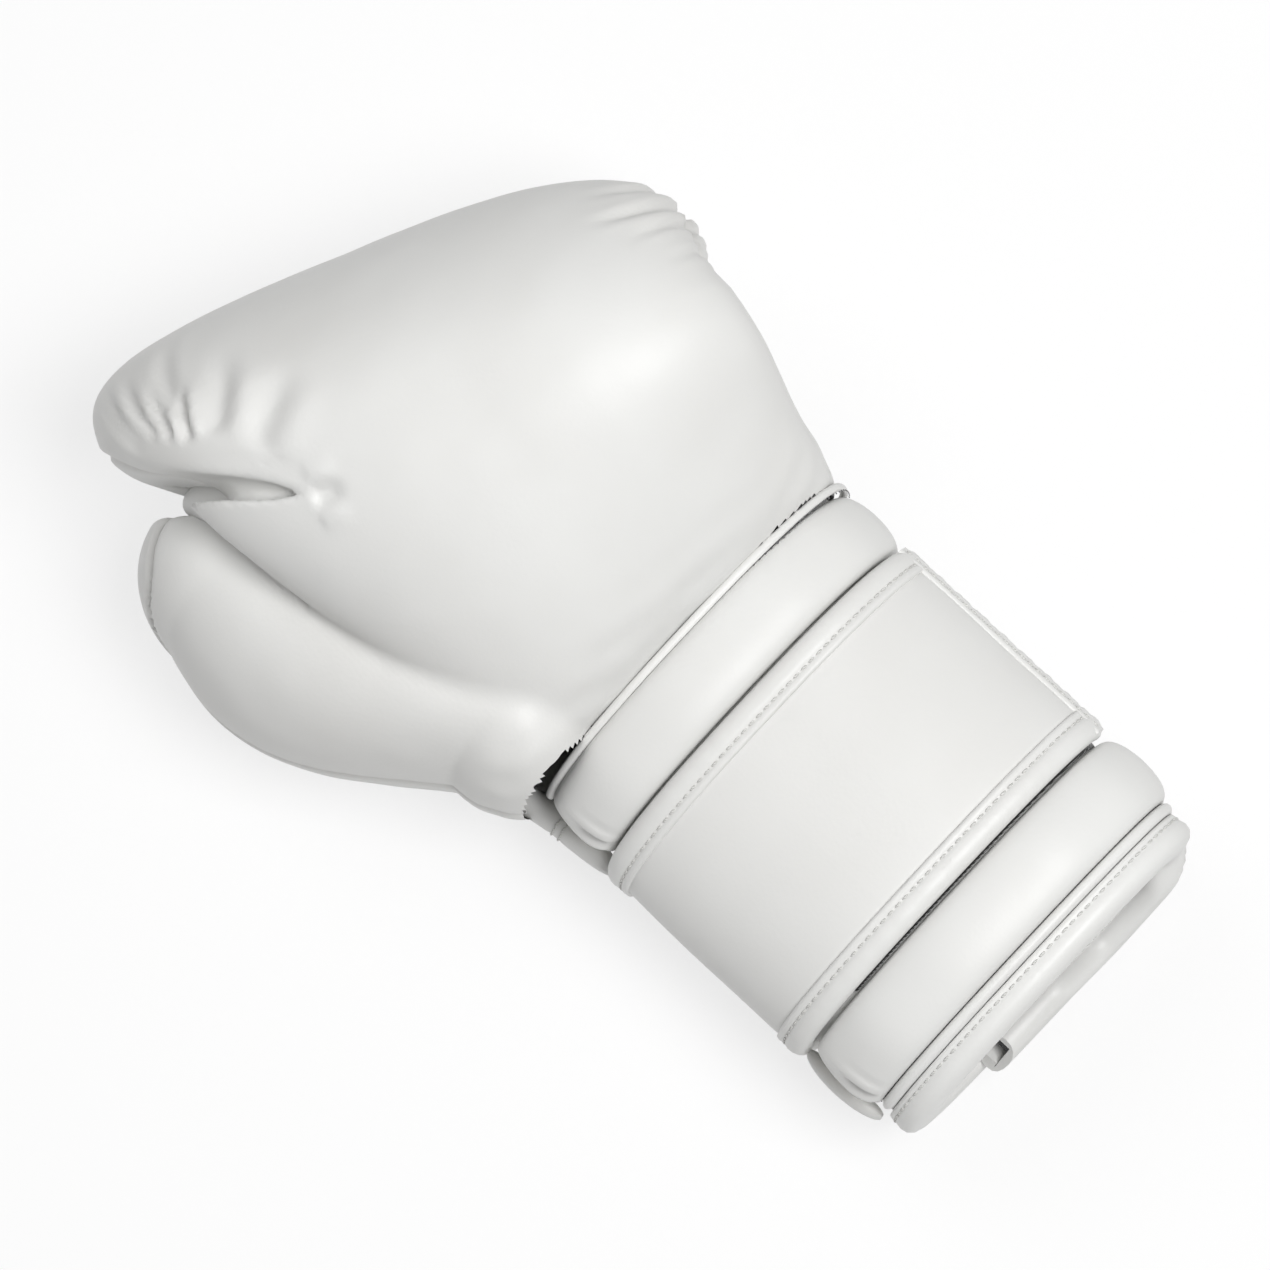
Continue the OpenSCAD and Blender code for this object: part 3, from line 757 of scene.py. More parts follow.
    def roll(self, name: str, y: float, width: float, node: str) -> bpy.types.Object:
        """Makes one padded roll, gathered where its thumb-side end is sewn in.

        Args:
            name: The piece's name.
            y: Where the roll starts.
            width: The roll's width.
            node: The frame's node that it stands for.

        Returns:
            The piece.
        """
        angles = CUFF.even_angles(self.roll_from, self.roll_to, 1.5)
        turn = np.linspace(0, math.pi, 27)

        def section(angle: float, t: float) -> tuple[Array, Array]:
            """Gives the roll's section: a puffed band on a flat base."""
            end = min(1.0, math.sqrt(max(0.0, min(t, 1 - t) * 26)))
            run = (self.roll_to - angle) / 60
            gather = math.exp(-(((angle - 155) / 7) ** 2))
            pucker = 1.5 * gather * math.cos((angle - 155) * 0.8)
            plump = self.roll_h * (0.35 + 0.65 * end) + 0.22 * math.sin(angle * 0.21) + 0 * run
            shape = np.sin(turn) ** 0.58
            fold = pucker * np.exp(-(((turn - 0.9) / 0.7) ** 2))
            y_line = y + width / 2 - width / 2 * np.cos(turn)
            out = 0.3 + (plump - 0.3) * shape - fold * shape
            return np.concatenate([y_line, y_line[::-1][1:-1]]), np.concatenate([out, np.full(len(turn) - 2, 0.25)])

        piece = sweep(name, angles, section, LEATHER)
        finish_piece(piece, "glove", [node])
        return piece

    def rolls(self) -> None:
        """Both rolls."""
        self.roll("lower_roll_leather", *self.lower_roll, "lower_roll_cover")
        self.roll("upper_roll_leather", *self.upper_roll, "upper_roll_cover")

    def gussets(self) -> None:
        """The stuffed gussets on the thumb side; the upper one is held by crossing stitches."""
        upper = [(-58.9, 108.0, -3.0), (-58.9, 116.0, -3.0), (-59.0, 124.0, -3.5), (-59.4, 132.0, -4.0),
                 (-61.2, 140.0, -4.6), (-63.2, 148.0, -5.4), (-65.2, 155.0, -6.0)]
        lower = [(-57.6, 9.5, -1.0), (-58.6, 16.0, -1.4), (-59.0, 23.0, -1.6), (-58.9, 30.0, -1.4), (-58.2, 36.0, -1.0)]
        for name, route, node, thick, ties in (
                ("upper_gusset_leather", upper, "upper_gusset", 4.4, (126.6, 129.4, 145.0, 147.8)),
                ("lower_gusset_leather", lower, "lower_gusset", 2.9, ())):
            spine = dense_route(route, 1.2)
            share = np.linspace(0, 1, len(spine))
            radius = thick * np.clip(np.sin(math.pi * share), 0.02, 1) ** 0.3
            for tie in ties:
                radius *= 1 - 0.07 * np.exp(-(((spine[:, 1] - tie) / 0.9) ** 2))
            piece = round_tube(name, spine, radius, LEATHER, 24)
            finish_piece(piece, "glove", [node])
            lines = []
            for tie in ties:
                at = spine[np.argmin(np.abs(spine[:, 1] - tie))]
                around = np.radians(np.linspace(-200, 20, 24))
                away = np.stack([np.cos(around), 0 * around, -np.sin(around)], axis=-1)
                lines.append((at + 4.25 * away + np.array([0, 0.25, 0]) * np.sin(3 * around)[:, None], away))
            if lines:
                finish_piece(CROSS_STITCH.sew("gusset_ties", lines), "glove", [])

    def fasteners(self) -> None:
        """The loop pile on the back of the cuff."""
        angles = CUFF.even_angles(-6, 128, 3)
        pile = sweep("cuff_loop_pile", angles, lambda a, t: closed_profile(
            [(35.4, 0.3), (35.4, 1.1), (36.2, 1.35), (70, 1.35), (105.2, 1.35), (106, 1.1), (106, 0.3)],
            [(35.4, 0.2), (35.5, 0.2), (36.2, 0.2), (70, 0.2), (105.2, 0.2), (105.8, 0.2), (106, 0.2)]), LOOP_PILE)
        finish_piece(pile, "glove", ["loop_patch"])


def dense_route(points: Sequence[tuple[float, float, float]], step: float) -> Array:
    """Smooths a route and spaces its points evenly.

    Args:
        points: Points that the route passes near.
        step: Spacing in millimetres.

    Returns:
        The route's points.
    """
    p = np.array(points, float)
    for _ in range(3):
        cut = np.empty((2 * len(p) - 2, 3))
        cut[0::2], cut[1::2] = mix(p[:-1], p[1:], 0.25), mix(p[:-1], p[1:], 0.75)
        p = np.vstack([p[:1], cut[1:-1], p[-1:]])
    run = np.concatenate([[0], np.cumsum(np.linalg.norm(np.diff(p, axis=0), axis=1))])
    at = np.linspace(0, run[-1], int(run[-1] / step) + 1)
    return np.stack([np.interp(at, run, p[:, i]) for i in range(3)], axis=-1)


def round_tube(name: str, spine: Array, radius: Array, finish: Finish, sides: int, squeeze: float = 1.0) -> bpy.types.Object:
    """Makes a tube of changing radius along a route.

    Args:
        name: The piece's name.
        spine: The route's points.
        radius: The radius at each point.
        finish: What the piece is made of.
        sides: Number of points round the tube.
        squeeze: Height of the tube's section over its width.

    Returns:
        The piece.
    """
    ahead = np.gradient(spine, axis=0)
    ahead /= np.linalg.norm(ahead, axis=1, keepdims=True)
    side = np.cross(ahead, [0, 0, 1.0])
    side /= np.linalg.norm(side, axis=1, keepdims=True)
    up = np.cross(side, ahead)
    turn = np.linspace(0, 2 * math.pi, sides, endpoint=False)
    rings = spine[:, None] + radius[:, None, None] * (
        np.cos(turn)[None, :, None] * side[:, None] + squeeze * np.sin(turn)[None, :, None] * up[:, None])
    return tube(name, rings, finish)


def finish_piece(piece: bpy.types.Object, body: str, nodes: Sequence[str]) -> None:
    """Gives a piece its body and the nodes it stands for.

    Args:
        piece: The piece.
        body: The body that it rides on.
        nodes: The frame's nodes that it stands for.
    """
    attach(piece, body)
    if nodes:
        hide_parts(*nodes)
    log.info("%s: %d faces on %s", piece.name, len(piece.data.polygons), body)


# ---------------------------------------------------------------- the strap


@dataclass(frozen=True)
class StrapLength:
    """One length of the strap, which bends at one joint."""

    name: str
    start: float
    stop: float
    bend: float
    before: str  # the body on the sewn side of the bend
    after: str  # the body on the free side
    nodes: tuple[str, ...]


@dataclass
class Strap:
    """The wide padded strap: leather sleeve, bound edges, hook patch under its free end."""

    y: float = 35.8
    width: float = 74.0
    low: float = 1.6
    high: float = 6.2
    binding: float = 9.0
    end: float = 10.0
    lengths: tuple[StrapLength, ...] = (
        StrapLength("tip", 10.0, 101.0, 62.0, "strap_top", "strap_tip", ("strap_tip",)),
        StrapLength("top", 101.0, 182.0, 140.0, "strap_side", "strap_top", ("strap_top", "strap_side")),
        StrapLength("side", 182.0, 330.0, 225.0, "glove", "strap_side", ("strap_anchor",)),
    )

    def lift(self, angle: Array) -> Array:
        """Gives how far the strap's underside stands off to ride over the hook patch."""
        return 1.0 * smooth((64 - np.asarray(angle, float)) / 5)

    def build(self) -> None:
        """Builds every length, the end binding and the hook patch."""
        for part in self.lengths:
            self.length_of(part)
        self.end_binding()
        self.hook()

    def blend(self, piece: bpy.types.Object, part: StrapLength) -> None:
        """Bakes a piece's placement into its mesh; the joint's two ends are worked out but not used."""
        start = Vector(CUFF.point(part.bend + 9, self.y + 37, 4) * MM)
        stop = Vector(CUFF.point(part.bend - 9, self.y + 37, 4) * MM)
        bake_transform(piece)

    def length_of(self, part: StrapLength) -> None:
        """Makes one length's sleeve, its two bindings and their stitches."""
        angles = CUFF.even_angles(part.start, part.stop, 2.2)
        across = np.linspace(0, 1, 33)
        y_face = self.y + 5 + (self.width - 10) * across

        def sleeve(angle: float, t: float) -> tuple[Array, Array]:
            """Gives the sleeve's section: a face lightly crowned by the foam, over a flat back."""
            crown = 0.55 * (1 - (2 * across - 1) ** 6) + 0.12 * np.sin(across * 9 + angle * 0.05)
            back = np.full(len(across), self.low + float(self.lift(angle)))
            return np.concatenate([y_face, y_face[::-1]]), np.concatenate([self.high + crown - 0.2, back])

        leather = sweep(f"strap_{part.name}_leather", angles, sleeve, LEATHER)
        bindings = []
        for side in (0, 1):
            def fold(angle: float, t: float, side: int = side) -> tuple[Array, Array]:
                """Gives the section of the tape folded over one edge."""
                low = self.low + float(self.lift(angle))
                wave = 0.1 * math.sin(angle * 0.9 + side)
                outer = [(self.binding, 0.15), (self.binding - 0.15, 0.95), (7.9, 1.1 + wave), (6.9, 0.95), (6.4, 0.5), (5.9, 0.95),
                         (4.6, 1.25 + wave), (3.0, 1.15 + wave), (1.6, 0.6 + wave), (0.6, -0.3), (0.0, -1.6), (0.1, -2.8)]
                line = [(e, self.high + h) for e, h in outer] + [(0.6, low - 0.1), (1.6, low - 0.65), (self.binding, low - 0.75)]
                inside = [(self.binding, self.high - 0.3), (4.0, self.high - 0.3), (2.2, self.high - 1.2), (2.2, low + 0.9),
                          (4.0, low + 0.1), (self.binding, low + 0.05)]
                flip = 1 if side == 0 else -1
                base = self.y if side == 0 else self.y + self.width
                return closed_profile([(base + flip * e, h) for e, h in line], [(base + flip * e, h) for e, h in inside])

            bindings.append(sweep(f"strap_{part.name}_binding_{side}", angles, fold, TRIM))
        run = CUFF.even_angles(part.start + (3 if part.name == "tip" else 0), part.stop, 2.0)
        lines = [(CUFF.point(run, self.y + e, self.high + 0.85), CUFF.outward(run)) for e in (6.4, self.width - 6.4)]
        thread = TOPSTITCH.sew(f"strap_{part.name}_stitches", lines)
        for piece, kind in ((leather, "cover"), (bindings[0], "binding"), (bindings[1], "binding"), (thread, "")):
            self.blend(piece, part)
            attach(piece, part.before)
            if kind:
                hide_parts(*[f"{node}_{kind}" for node in part.nodes])
            log.info("%s: %d faces", piece.name, len(piece.data.polygons))

    def end_binding(self) -> None:
        """The crinkled tape folded over the strap's free end."""
        ys = np.linspace(self.y + 0.6, self.y + self.width - 0.6, 90)
        rings = []
        for y in ys:
            t = (y - self.y) / self.width
            crinkle = 0.12 * math.sin(y * 0.8) + 0.1 * math.sin(y * 1.9 + 1)
            corner = 1 - 0.35 * math.exp(-((min(t, 1 - t) * 74 / 3) ** 2))
            section = [(19.5, 0.2), (19.2, 1.0), (17.4, 1.2 + 0.4 * crinkle), (16.2, 0.75), (15.0, 1.25 + crinkle * 0.5),
                       (12.5, 1.3 + crinkle), (10.4, 0.6 + crinkle * 0.6), (9.2, -0.8), (8.9, -2.4), (9.3, -3.9), (10.8, -4.5), (17.0, -4.5),
                       (17.0, -3.9), (11.4, -3.6), (11.2, -0.7), (19.5, -0.3)]
            rings.append([CUFF.point(a, y, self.high + h * corner) for a, h in section])
        tape = tube("strap_end_binding", np.array(rings), TRIM)
        finish_piece(tape, "strap_tip", [])
        ys = np.linspace(self.y + 3, self.y + self.width - 3, 40)
        finish_piece(TOPSTITCH.sew("strap_end_stitches", [(CUFF.point(16.2, ys, self.high + 1.05), CUFF.outward(16.2))]),
                     "strap_tip", [])

    def hook(self) -> None:
        """The hook patch under the free end."""
        angles = CUFF.even_angles(15, 59, 3)
        patch = sweep("strap_hook_patch", angles, lambda a, t: closed_profile(
            [(self.y + 12, 2.55), (self.y + 37, 2.55), (self.y + 62, 2.55)],
            [(self.y + 12, 1.65), (self.y + 37, 1.65), (self.y + 62, 1.65)]), HOOK_TAPE)
        finish_piece(patch, "strap_tip", ["hook_patch"])


# ---------------------------------------------------------------- the hand


@dataclass(frozen=True)
class Crease:
    """A fold line in the leather, in plan: from one point to another, with a sideways bow."""

    start: tuple[float, float]
    stop: tuple[float, float]
    width: float
    depth: float
    bow: float = 0.0

    def push(self, plan: Array) -> Array:
        """Gives how far each point moves out of the leather.

        Args:
            plan: Points' x and y in millimetres.

        Returns:
            The movement, below 0 in the fold and above 0 on its lips.
        """
        a, b = np.array(self.start), np.array(self.stop)
        run = b - a
        length = np.linalg.norm(run)
        along = (plan - a) @ run / length**2
        off = (plan - a) @ np.array([-run[1], run[0]]) / length - self.bow * (1 - (2 * along - 1) ** 2)
        taper = smooth(along / 0.18) * smooth((1 - along) / 0.55)
        w = self.width
        return self.depth * taper * (-np.exp(-((off / w) ** 2)) + 0.45 * np.exp(-(((np.abs(off) - 1.9 * w) / w) ** 2)))


@dataclass
class HandForm:
    """The padded fist and thumb as one field, in millimetres: below 0 inside the leather."""

    wrist_y: float = 135.3
    curl_y: float = 215.3
    curl_h: float = 53.0
    top_reach: float = 71.0
    front_reach: float = 63.0
    fold_r: float = 9.0
    slant: float = 0.46
    slant_mid: float = 11.0
    thumb_y: float = 155.3
    thumb_len: float = 85.0
    thumb_cap: float = 28.0

    def widths(self, u: Array) -> tuple[Array, Array]:
        """Gives the fist's two sides at a place along its spine."""
        left = np.where(u < 1, mix(-56.0, -64.0, smooth(u)), mix(-64.0, -40.0, smooth((u - 1.3) / 0.5)))
        right = np.where(
            u < 1, mix(62.0, 77.0, u),
            np.where(u < 1.35, mix(77.0, 85.0, smooth((u - 1) / 0.35)), mix(85.0, 76.0, smooth((u - 1.35) / 0.5))))
        return left, right

    @staticmethod
    def oval(x: Array, z: Array, a: Array, b: Array, n: Array) -> Array:
        """Gives the distance along a ray to a rounded box."""
        g = np.maximum((np.abs(x / a) ** n + np.abs(z / b) ** n) ** (1 / n), 1e-3)
        return np.hypot(x, z) * (1 - 1 / g)

    def spine(self, x: Array, y: Array) -> Array:
        """Solves for the place along the back of the hand, from 0 at the wrist to 1 at the knuckles."""
        t = np.clip((y - self.wrist_y) / 80, 0, 1)
        for _ in range(12):
            t = np.clip((y - self.wrist_y + self.slant * smooth(t) * (x - self.slant_mid)) / 80, 0, 1)
        return t

    def fist(self, x: Array, y: Array, h: Array) -> tuple[Array, Array]:
        """Gives the fist's distance and its seam value, above 0 on the side of the back of the hand."""
        t = self.spine(x, y)
        low = mix(4.0, self.curl_h + self.fold_r, smooth(t))
        high = mix(80.0, self.curl_h + self.top_reach, np.sin(math.pi / 2 * t) ** 0.75)
        edge = np.clip(1 - (y - self.wrist_y) / 13, 0, 1)
        tuck = 5.5 * (1 - np.sqrt(np.maximum(1 - edge**2, 0)))
        left, right = self.widths(t)
        a, b, mid = (right - left) / 2, (high - low) / 2, (high + low) / 2
        round_x = x - (left + right) / 2
        n = np.where(round_x < 0, mix(2.5, 2.7, smooth((t - 0.8) / 0.5)), 2.9)
        back = self.oval(round_x, h - mid, a - tuck, b - tuck, n)
        ahead = y + self.slant * (x - self.slant_mid) - self.curl_y
        rise = h - self.curl_h
        v = np.clip(np.arctan2(np.maximum(ahead, 0), rise) / math.pi, 0, 1)
        reach = np.where(
            v < 0.5, mix(self.top_reach, self.front_reach, smooth(2 * v)),
            mix(self.front_reach, self.curl_h, smooth(2 * v - 1)))
        left, right = self.widths(1 + v)
        a, rho = (right - left) / 2, np.hypot(ahead, rise)
        n = np.where(x < (left + right) / 2, mix(2.5, 3.1, smooth((v + 0.2) / 0.5)), 2.9)
        curl = self.oval(x - (left + right) / 2, rho - (reach + self.fold_r) / 2, a, (reach - self.fold_r) / 2, n)
        deep = (self.curl_h - self.fold_r) / 2
        cap = np.maximum(-ahead - 12, 0) / 16
        qz = np.hypot((h - deep) / deep, cap)
        g = np.maximum((np.abs((x - 15.0) / 55.0) ** 2.9 + qz**2.9) ** (1 / 2.9), 1e-3)
        tips = np.sqrt((x - 15.0) ** 2 + (h - deep) ** 2 + (16 * cap) ** 2) * (1 - 1 / g)
        distance = np.where(ahead >= 0, curl, np.minimum(back, tips))
        seam = np.where(ahead >= 0, rho - (reach + self.fold_r) / 2, np.where(back < tips, h - mid, deep - h))
        return distance, seam

    def thumb(self, x: Array, y: Array, h: Array) -> tuple[Array, Array]:
        """Gives the thumb's distance and its seam value, above 0 on its upper side."""
        t = (y - self.thumb_y) / self.thumb_len
        c = np.clip(t, 0, 1)
        mid_x = -50 - 24 * np.sin(np.radians(104 * c))
        mid_h = mix(52.0, 42.0, smooth(c))
        swell = np.sin(np.radians(150 * c))
        a, b = 22 + 9 * swell, 36 + 3 * swell
        cap = np.maximum(t - 1, 0) * self.thumb_len / self.thumb_cap
        root = np.maximum(-t, 0) * self.thumb_len / 26
        shift = 0.12 * (h - mid_h)
        px, pz, py = (x - mid_x - shift) / a, (h - mid_h) / b, cap + root
        g = np.maximum((np.hypot(px, py) ** 2.3 + np.abs(pz) ** 2.3) ** (1 / 2.3), 1e-3)
        size = np.sqrt((px * a) ** 2 + (pz * b) ** 2 + (py * 27) ** 2)
        return size * (1 - 1 / g), h - mid_h - 26 * smooth((t - 0.98) / 0.2)

    def notch(self, x: Array, y: Array, h: Array) -> tuple[Array, Array]:
        """Gives the side of the notch (above 0 on the fist's) and the share of the way out along it."""
        start, run = np.array([-38.0, 224.0]), np.array([-28.0, 38.0])
        length = np.linalg.norm(run)
        along = ((x - start[0]) * run[0] + (y - start[1]) * run[1]) / length**2
        side = ((x - start[0]) * -run[1] + (y - start[1]) * run[0]) / -length
        return -side, along

    def field(self, p: Array) -> Array:
        """Gives the distance to the leather at each point."""
        x, y, h = p[..., 0], p[..., 1], p[..., 2] - GROUND
        fist, _ = self.fist(x, y, h)
        thumb, _ = self.thumb(x, y, h)
        side, along = self.notch(x, y, h)
        merge = mix(3.0, 56.0, smooth((-side + 6) / 18))
        merge = mix(merge, 8.0, smooth((40 - h) / 30))
        body = soft_min(fist, thumb, merge)
        width = 4.0 * np.sqrt(np.clip(along, 0, 1))
        beyond = 30 * np.maximum(-along, 0) + 30 * np.maximum(along - 1.5, 0)
        slit = soft_max(np.abs(side) - width + beyond + 1.5 * smooth((0.3 - along) / 0.3), -(body + 9), 4.0)
        return soft_max(body, -slit, 2.0)


class Panel(Enum):
    """The leather panels of the hand."""

    BACK = 0
    PALM = 1
    FINGER = 2
    THUMB = 3


@dataclass
class Hand:
    """The fist and thumb in leather, cut into panels along their seams, with folds, web, tab, bar and lining."""

    form: HandForm = field(default_factory=HandForm)
    cell: float = 1.5
    creases: tuple[Crease, ...] = (
        Crease((-50.5, 259.0), (-41.0, 273.0), 1.5, 2.6, 0.5),
        Crease((-52.5, 263.0), (-47.5, 282.0), 1.5, 1.9, 0.8),
        Crease((-55.5, 266.0), (-50.0, 292.0), 1.7, 1.8, 1.6),
        Crease((-59.0, 267.0), (-55.5, 298.0), 1.5, 1.5, 1.8),
        Crease((-61.5, 268.0), (-59.5, 296.0), 1.2, 1.1, 1.4),
        Crease((-48.0, 266.0), (-33.0, 292.0), 2.6, 1.1, 2.0),
        Crease((-45.0, 254.0), (-26.0, 274.0), 3.6, 1.5, -1.5),
        Crease((-41.0, 243.0), (-14.0, 252.0), 4.4, 1.5, 1.5),
        Crease((-39.5, 224.0), (-30.0, 219.0), 3.0, 2.0, 0.0),
        Crease((90.0, 212.0), (60.0, 224.0), 1.6, 1.3, 1.5),
        Crease((90.0, 204.0), (64.0, 211.0), 1.4, 1.0, -0.8),
        Crease((88.0, 196.0), (68.0, 200.0), 1.4, 0.8, 0.5),
        Crease((90.0, 219.0), (66.0, 233.0), 1.6, 0.9, 1.0),
    )

    def build(self) -> None:
        """Builds all pieces of the hand."""
        self.leather()
        self.web()
        self.tab()
        self.bar()
        self.linings()
        self.welt()

    def nets(self) -> tuple[Array, Array]:
        """Turns the field into quads with one point in each cell that the surface crosses.

        Returns:
            The points and the faces.
        """
        low, high = np.array([-108.0, self.form.wrist_y - 2.2, GROUND - 4]), np.array([92.0, 304.0, GROUND + 132])
        counts = ((high - low) / self.cell).astype(int) + 1
        axes = [low[i] + self.cell * np.arange(counts[i]) for i in range(3)]
        grid = np.stack(np.meshgrid(*axes, indexing="ij"), axis=-1)
        f = self.form.field(grid)
        inside = f < 0
        cells = tuple(c - 1 for c in counts)
        total, number = np.zeros((*cells, 3)), np.zeros(cells)
        for axis in range(3):
            for da in (0, 1):
                for db in (0, 1):
                    offset = [0, 0, 0]
                    others = [i for i in range(3) if i != axis]
                    offset[others[0]], offset[others[1]] = da, db
                    near = tuple(slice(o, o + n) for o, n in zip(offset, cells))
                    step = [0, 0, 0]
                    step[axis] = 1
                    far = tuple(slice(o + s, o + s + n) for o, s, n in zip(offset, step, cells))
                    hit = inside[near] != inside[far]
                    share = np.where(hit, f[near] / np.where(hit, f[near] - f[far], 1), 0)
                    place = grid[near] + share[..., None] * (grid[far] - grid[near])
                    total += place * hit[..., None]
                    number += hit
        used = number > 0
        index = -np.ones(cells, int)
        index[used] = np.arange(used.sum())
        points = total[used] / number[used][:, None]
        faces = []
        for axis in range(3):
            b, c = (axis + 1) % 3, (axis + 2) % 3
            span = [slice(1, n) for n in cells]
            span[axis] = slice(0, cells[axis])
            near = tuple(span)
            far = list(span)
            far[axis] = slice(1, cells[axis] + 1)
            here, there = inside[near], inside[tuple(far)]
            crossing = np.argwhere(here != there)
            crossing += np.array([0 if i == axis else 1 for i in range(3)])
            flip = here[here != there]
            corners = []
            for db, dc in ((1, 1), (0, 1), (0, 0), (1, 0)):
                at = crossing.copy()
                at[:, b] -= db
                at[:, c] -= dc
                corners.append(index[at[:, 0], at[:, 1], at[:, 2]])
            quad = np.stack(corners, axis=-1)
            quad[~flip] = quad[~flip][:, ::-1]
            faces.append(quad)
        for _ in range(3):
            value = self.form.field(points)
            slope = np.stack([
                (self.form.field(points + d) - self.form.field(points - d)) / 0.6 for d in 0.3 * np.eye(3)], axis=-1)
            size = np.maximum((slope**2).sum(-1), 0.05)
            points = points - np.clip(value / size, -1, 1)[:, None] * slope
        return points, np.vstack(faces)

    def panel_of(self, p: Array) -> tuple[Array, Array]:
        """Gives the panel of each point and how near it is to the seams."""
        x, y, h = p[..., 0], p[..., 1], p[..., 2] - GROUND
        fist, fist_seam = self.form.fist(x, y, h)
        thumb, thumb_seam = self.form.thumb(x, y, h)
        ahead = y + self.form.slant * (x - self.form.slant_mid) - self.form.curl_y
        lower = np.where(thumb < fist, Panel.THUMB.value, np.where(ahead < 0, Panel.PALM.value, Panel.FINGER.value))
        tips = (ahead < 0) & (h < self.form.curl_h)
        lower = np.where((lower == Panel.PALM.value) & tips & (y > 190), Panel.FINGER.value, lower)
        seam = np.where(thumb < fist, thumb_seam, fist_seam)
        return np.where(seam > 0, Panel.BACK.value, lower), seam

    def leather(self) -> None:
        """Makes the panels: the surface is folded, grooved along its seams and parted there."""
        points, faces = self.nets()
        mesh = bpy.data.meshes.new("hand")
        mesh.from_pydata((points * MM).tolist(), [], faces.tolist())
        mesh.update()
        normals = np.empty(len(points) * 3)
        mesh.vertices.foreach_get("normal", normals)
        normals = normals.reshape(-1, 3)
        panel, seam = self.panel_of(points)
        plan = points[:, :2]
        top = smooth((points[:, 2] - GROUND - 40) / 20)
        push = sum(crease.push(plan) for crease in self.creases) * top
        push = push + 0.28 * waves(points, 46, 5) + 0.1 * waves(points, 17, 9)
        ripple = np.exp(-((points[:, 1] - self.form.wrist_y - 6) / 7) ** 2)
        push = push + 0.35 * ripple * waves(points, 11, 3)
        groove = np.exp(-((seam / 1.7) ** 2)) * (np.abs(seam) < 6)
        # painted shade: darkens the leather along the seam grooves, read by the material as seam_shade
        shade = 0.55 * np.exp(-((seam / 2.5) ** 2)) * (np.abs(seam) < 8)
        moved = points + normals * (push - 1.6 * groove)[:, None]
        centre = points[faces].mean(axis=1)
        owner, _ = self.panel_of(centre)
        rim = centre[:, 1] < self.form.wrist_y + 0.2
        names = {
            Panel.BACK: ("back_and_thumb_leather", ["back_shell", "thumb_outer_panel", "back_foam", "thumb_foam"]),
            Panel.PALM: ("palm_leather", ["palm_panel", "palm_foam"]),
            Panel.FINGER: ("finger_leather", ["finger_panel", "finger_foam"]),
            Panel.THUMB: ("thumb_inner_leather", ["thumb_inner_panel"]),
        }
        for kind, (name, nodes) in names.items():
            chosen = faces[(owner == kind.value) & ~rim]
            used, where = np.unique(chosen, return_inverse=True)
            piece = make_mesh(name, moved[used], where.reshape(-1, 4).tolist(), LEATHER)
            piece.data.attributes.new("seam_shade", "FLOAT", "POINT").data.foreach_set("value", shade[used].astype(np.float32))
            finish_piece(piece, "glove", nodes)
        bpy.data.meshes.remove(mesh)

    def web(self) -> None:
        """The stuffed web in the notch."""
        route = [(-37.5, 223.5, 66.0), (-43.0, 231.0, 62.5), (-49.5, 239.5, 55.0), (-56.0, 248.5, 44.0), (-61.5, 256.5, 30.0),
                 (-65.0, 262.0, 14.0)]
        spine = dense_route([(x, y, z) for x, y, z in route], 0.9)
        share = np.linspace(0, 1, len(spine))
        radius = 6.4 * np.clip(np.sin(math.pi * np.clip(share * 0.9 + 0.05, 0, 1)), 0.02, 1) ** 0.6
        piece = round_tube("thumb_web_leather", spine, radius, LEATHER, 28)
        finish_piece(piece, "glove", [])

    def tab(self) -> None:
        """The tab that ties the thumb's tip to the fingers."""
        low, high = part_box("thumb_tab")
        a, b = np.array(low) / MM, np.array(high) / MM
        spine = dense_route([(a[0], a[1] + 2, (a[2] + b[2]) / 2), ((a[0] + b[0]) / 2, (a[1] + b[1]) / 2, (a[2] + b[2]) / 2),
                             (b[0], b[1] - 2, (a[2] + b[2]) / 2)], 0.8)
        piece = round_tube("lock_tab_leather", spine, np.full(len(spine), 2.0), TRIM, 16, squeeze=4.0)
        finish_piece(piece, "glove", ["thumb_tab"])

    def bar(self) -> None:
        """The stuffed bar that the fingers close on."""
        low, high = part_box("grip_bar")
        a, b = np.array(low) / MM, np.array(high) / MM
        z = (a[2] + b[2]) / 2
        spine = dense_route([(a[0] + 2, b[1] - 6, z), ((a[0] + b[0]) / 2, (a[1] + b[1]) / 2, z), (b[0] - 2, a[1] + 6, z)], 2)
        share = np.linspace(0, 1, len(spine))
        radius = 7.4 * np.clip(np.sin(math.pi * np.clip(share, 0.01, 0.99)), 0.02, 1) ** 0.18
        piece = round_tube("grip_bar_leather", spine, radius, LEATHER, 28)
        finish_piece(piece, "glove", ["grip_bar"])

    def linings(self) -> None:
        """The cloth pocket for the fingers."""
        rings = []
        for t in np.linspace(0, 1, 40):
            y = self.form.wrist_y + 0.5 + 62 * t
            angle = np.radians(np.linspace(0, 360, 64, endpoint=False))
            a, b = mix(44.0, 46.0, t) * math.sqrt(max(0.0, 1 - t**6)), mix(24.5, 15.0, float(smooth(t))) * math.sqrt(max(0.0, 1 - t**6))
            x = mix(1.5, 5.0, t) + (a + 0.2) * power(np.cos(angle), 0.8)
            z = mix(0.0, 32.0, float(smooth(t))) + (b + 0.2) * power(np.sin(angle), 0.8)
            rings.append(np.stack([x, np.full_like(x, y), z], axis=-1))
        rows = len(rings)
        faces = lattice(rows, 64, False, True) + [tuple(range((rows - 1) * 64, rows * 64))]
        piece = make_mesh("hand_lining_cloth", np.array(rings).reshape(-1, 3), faces, LINING)
        finish_piece(piece, "glove", ["hand_lining"])

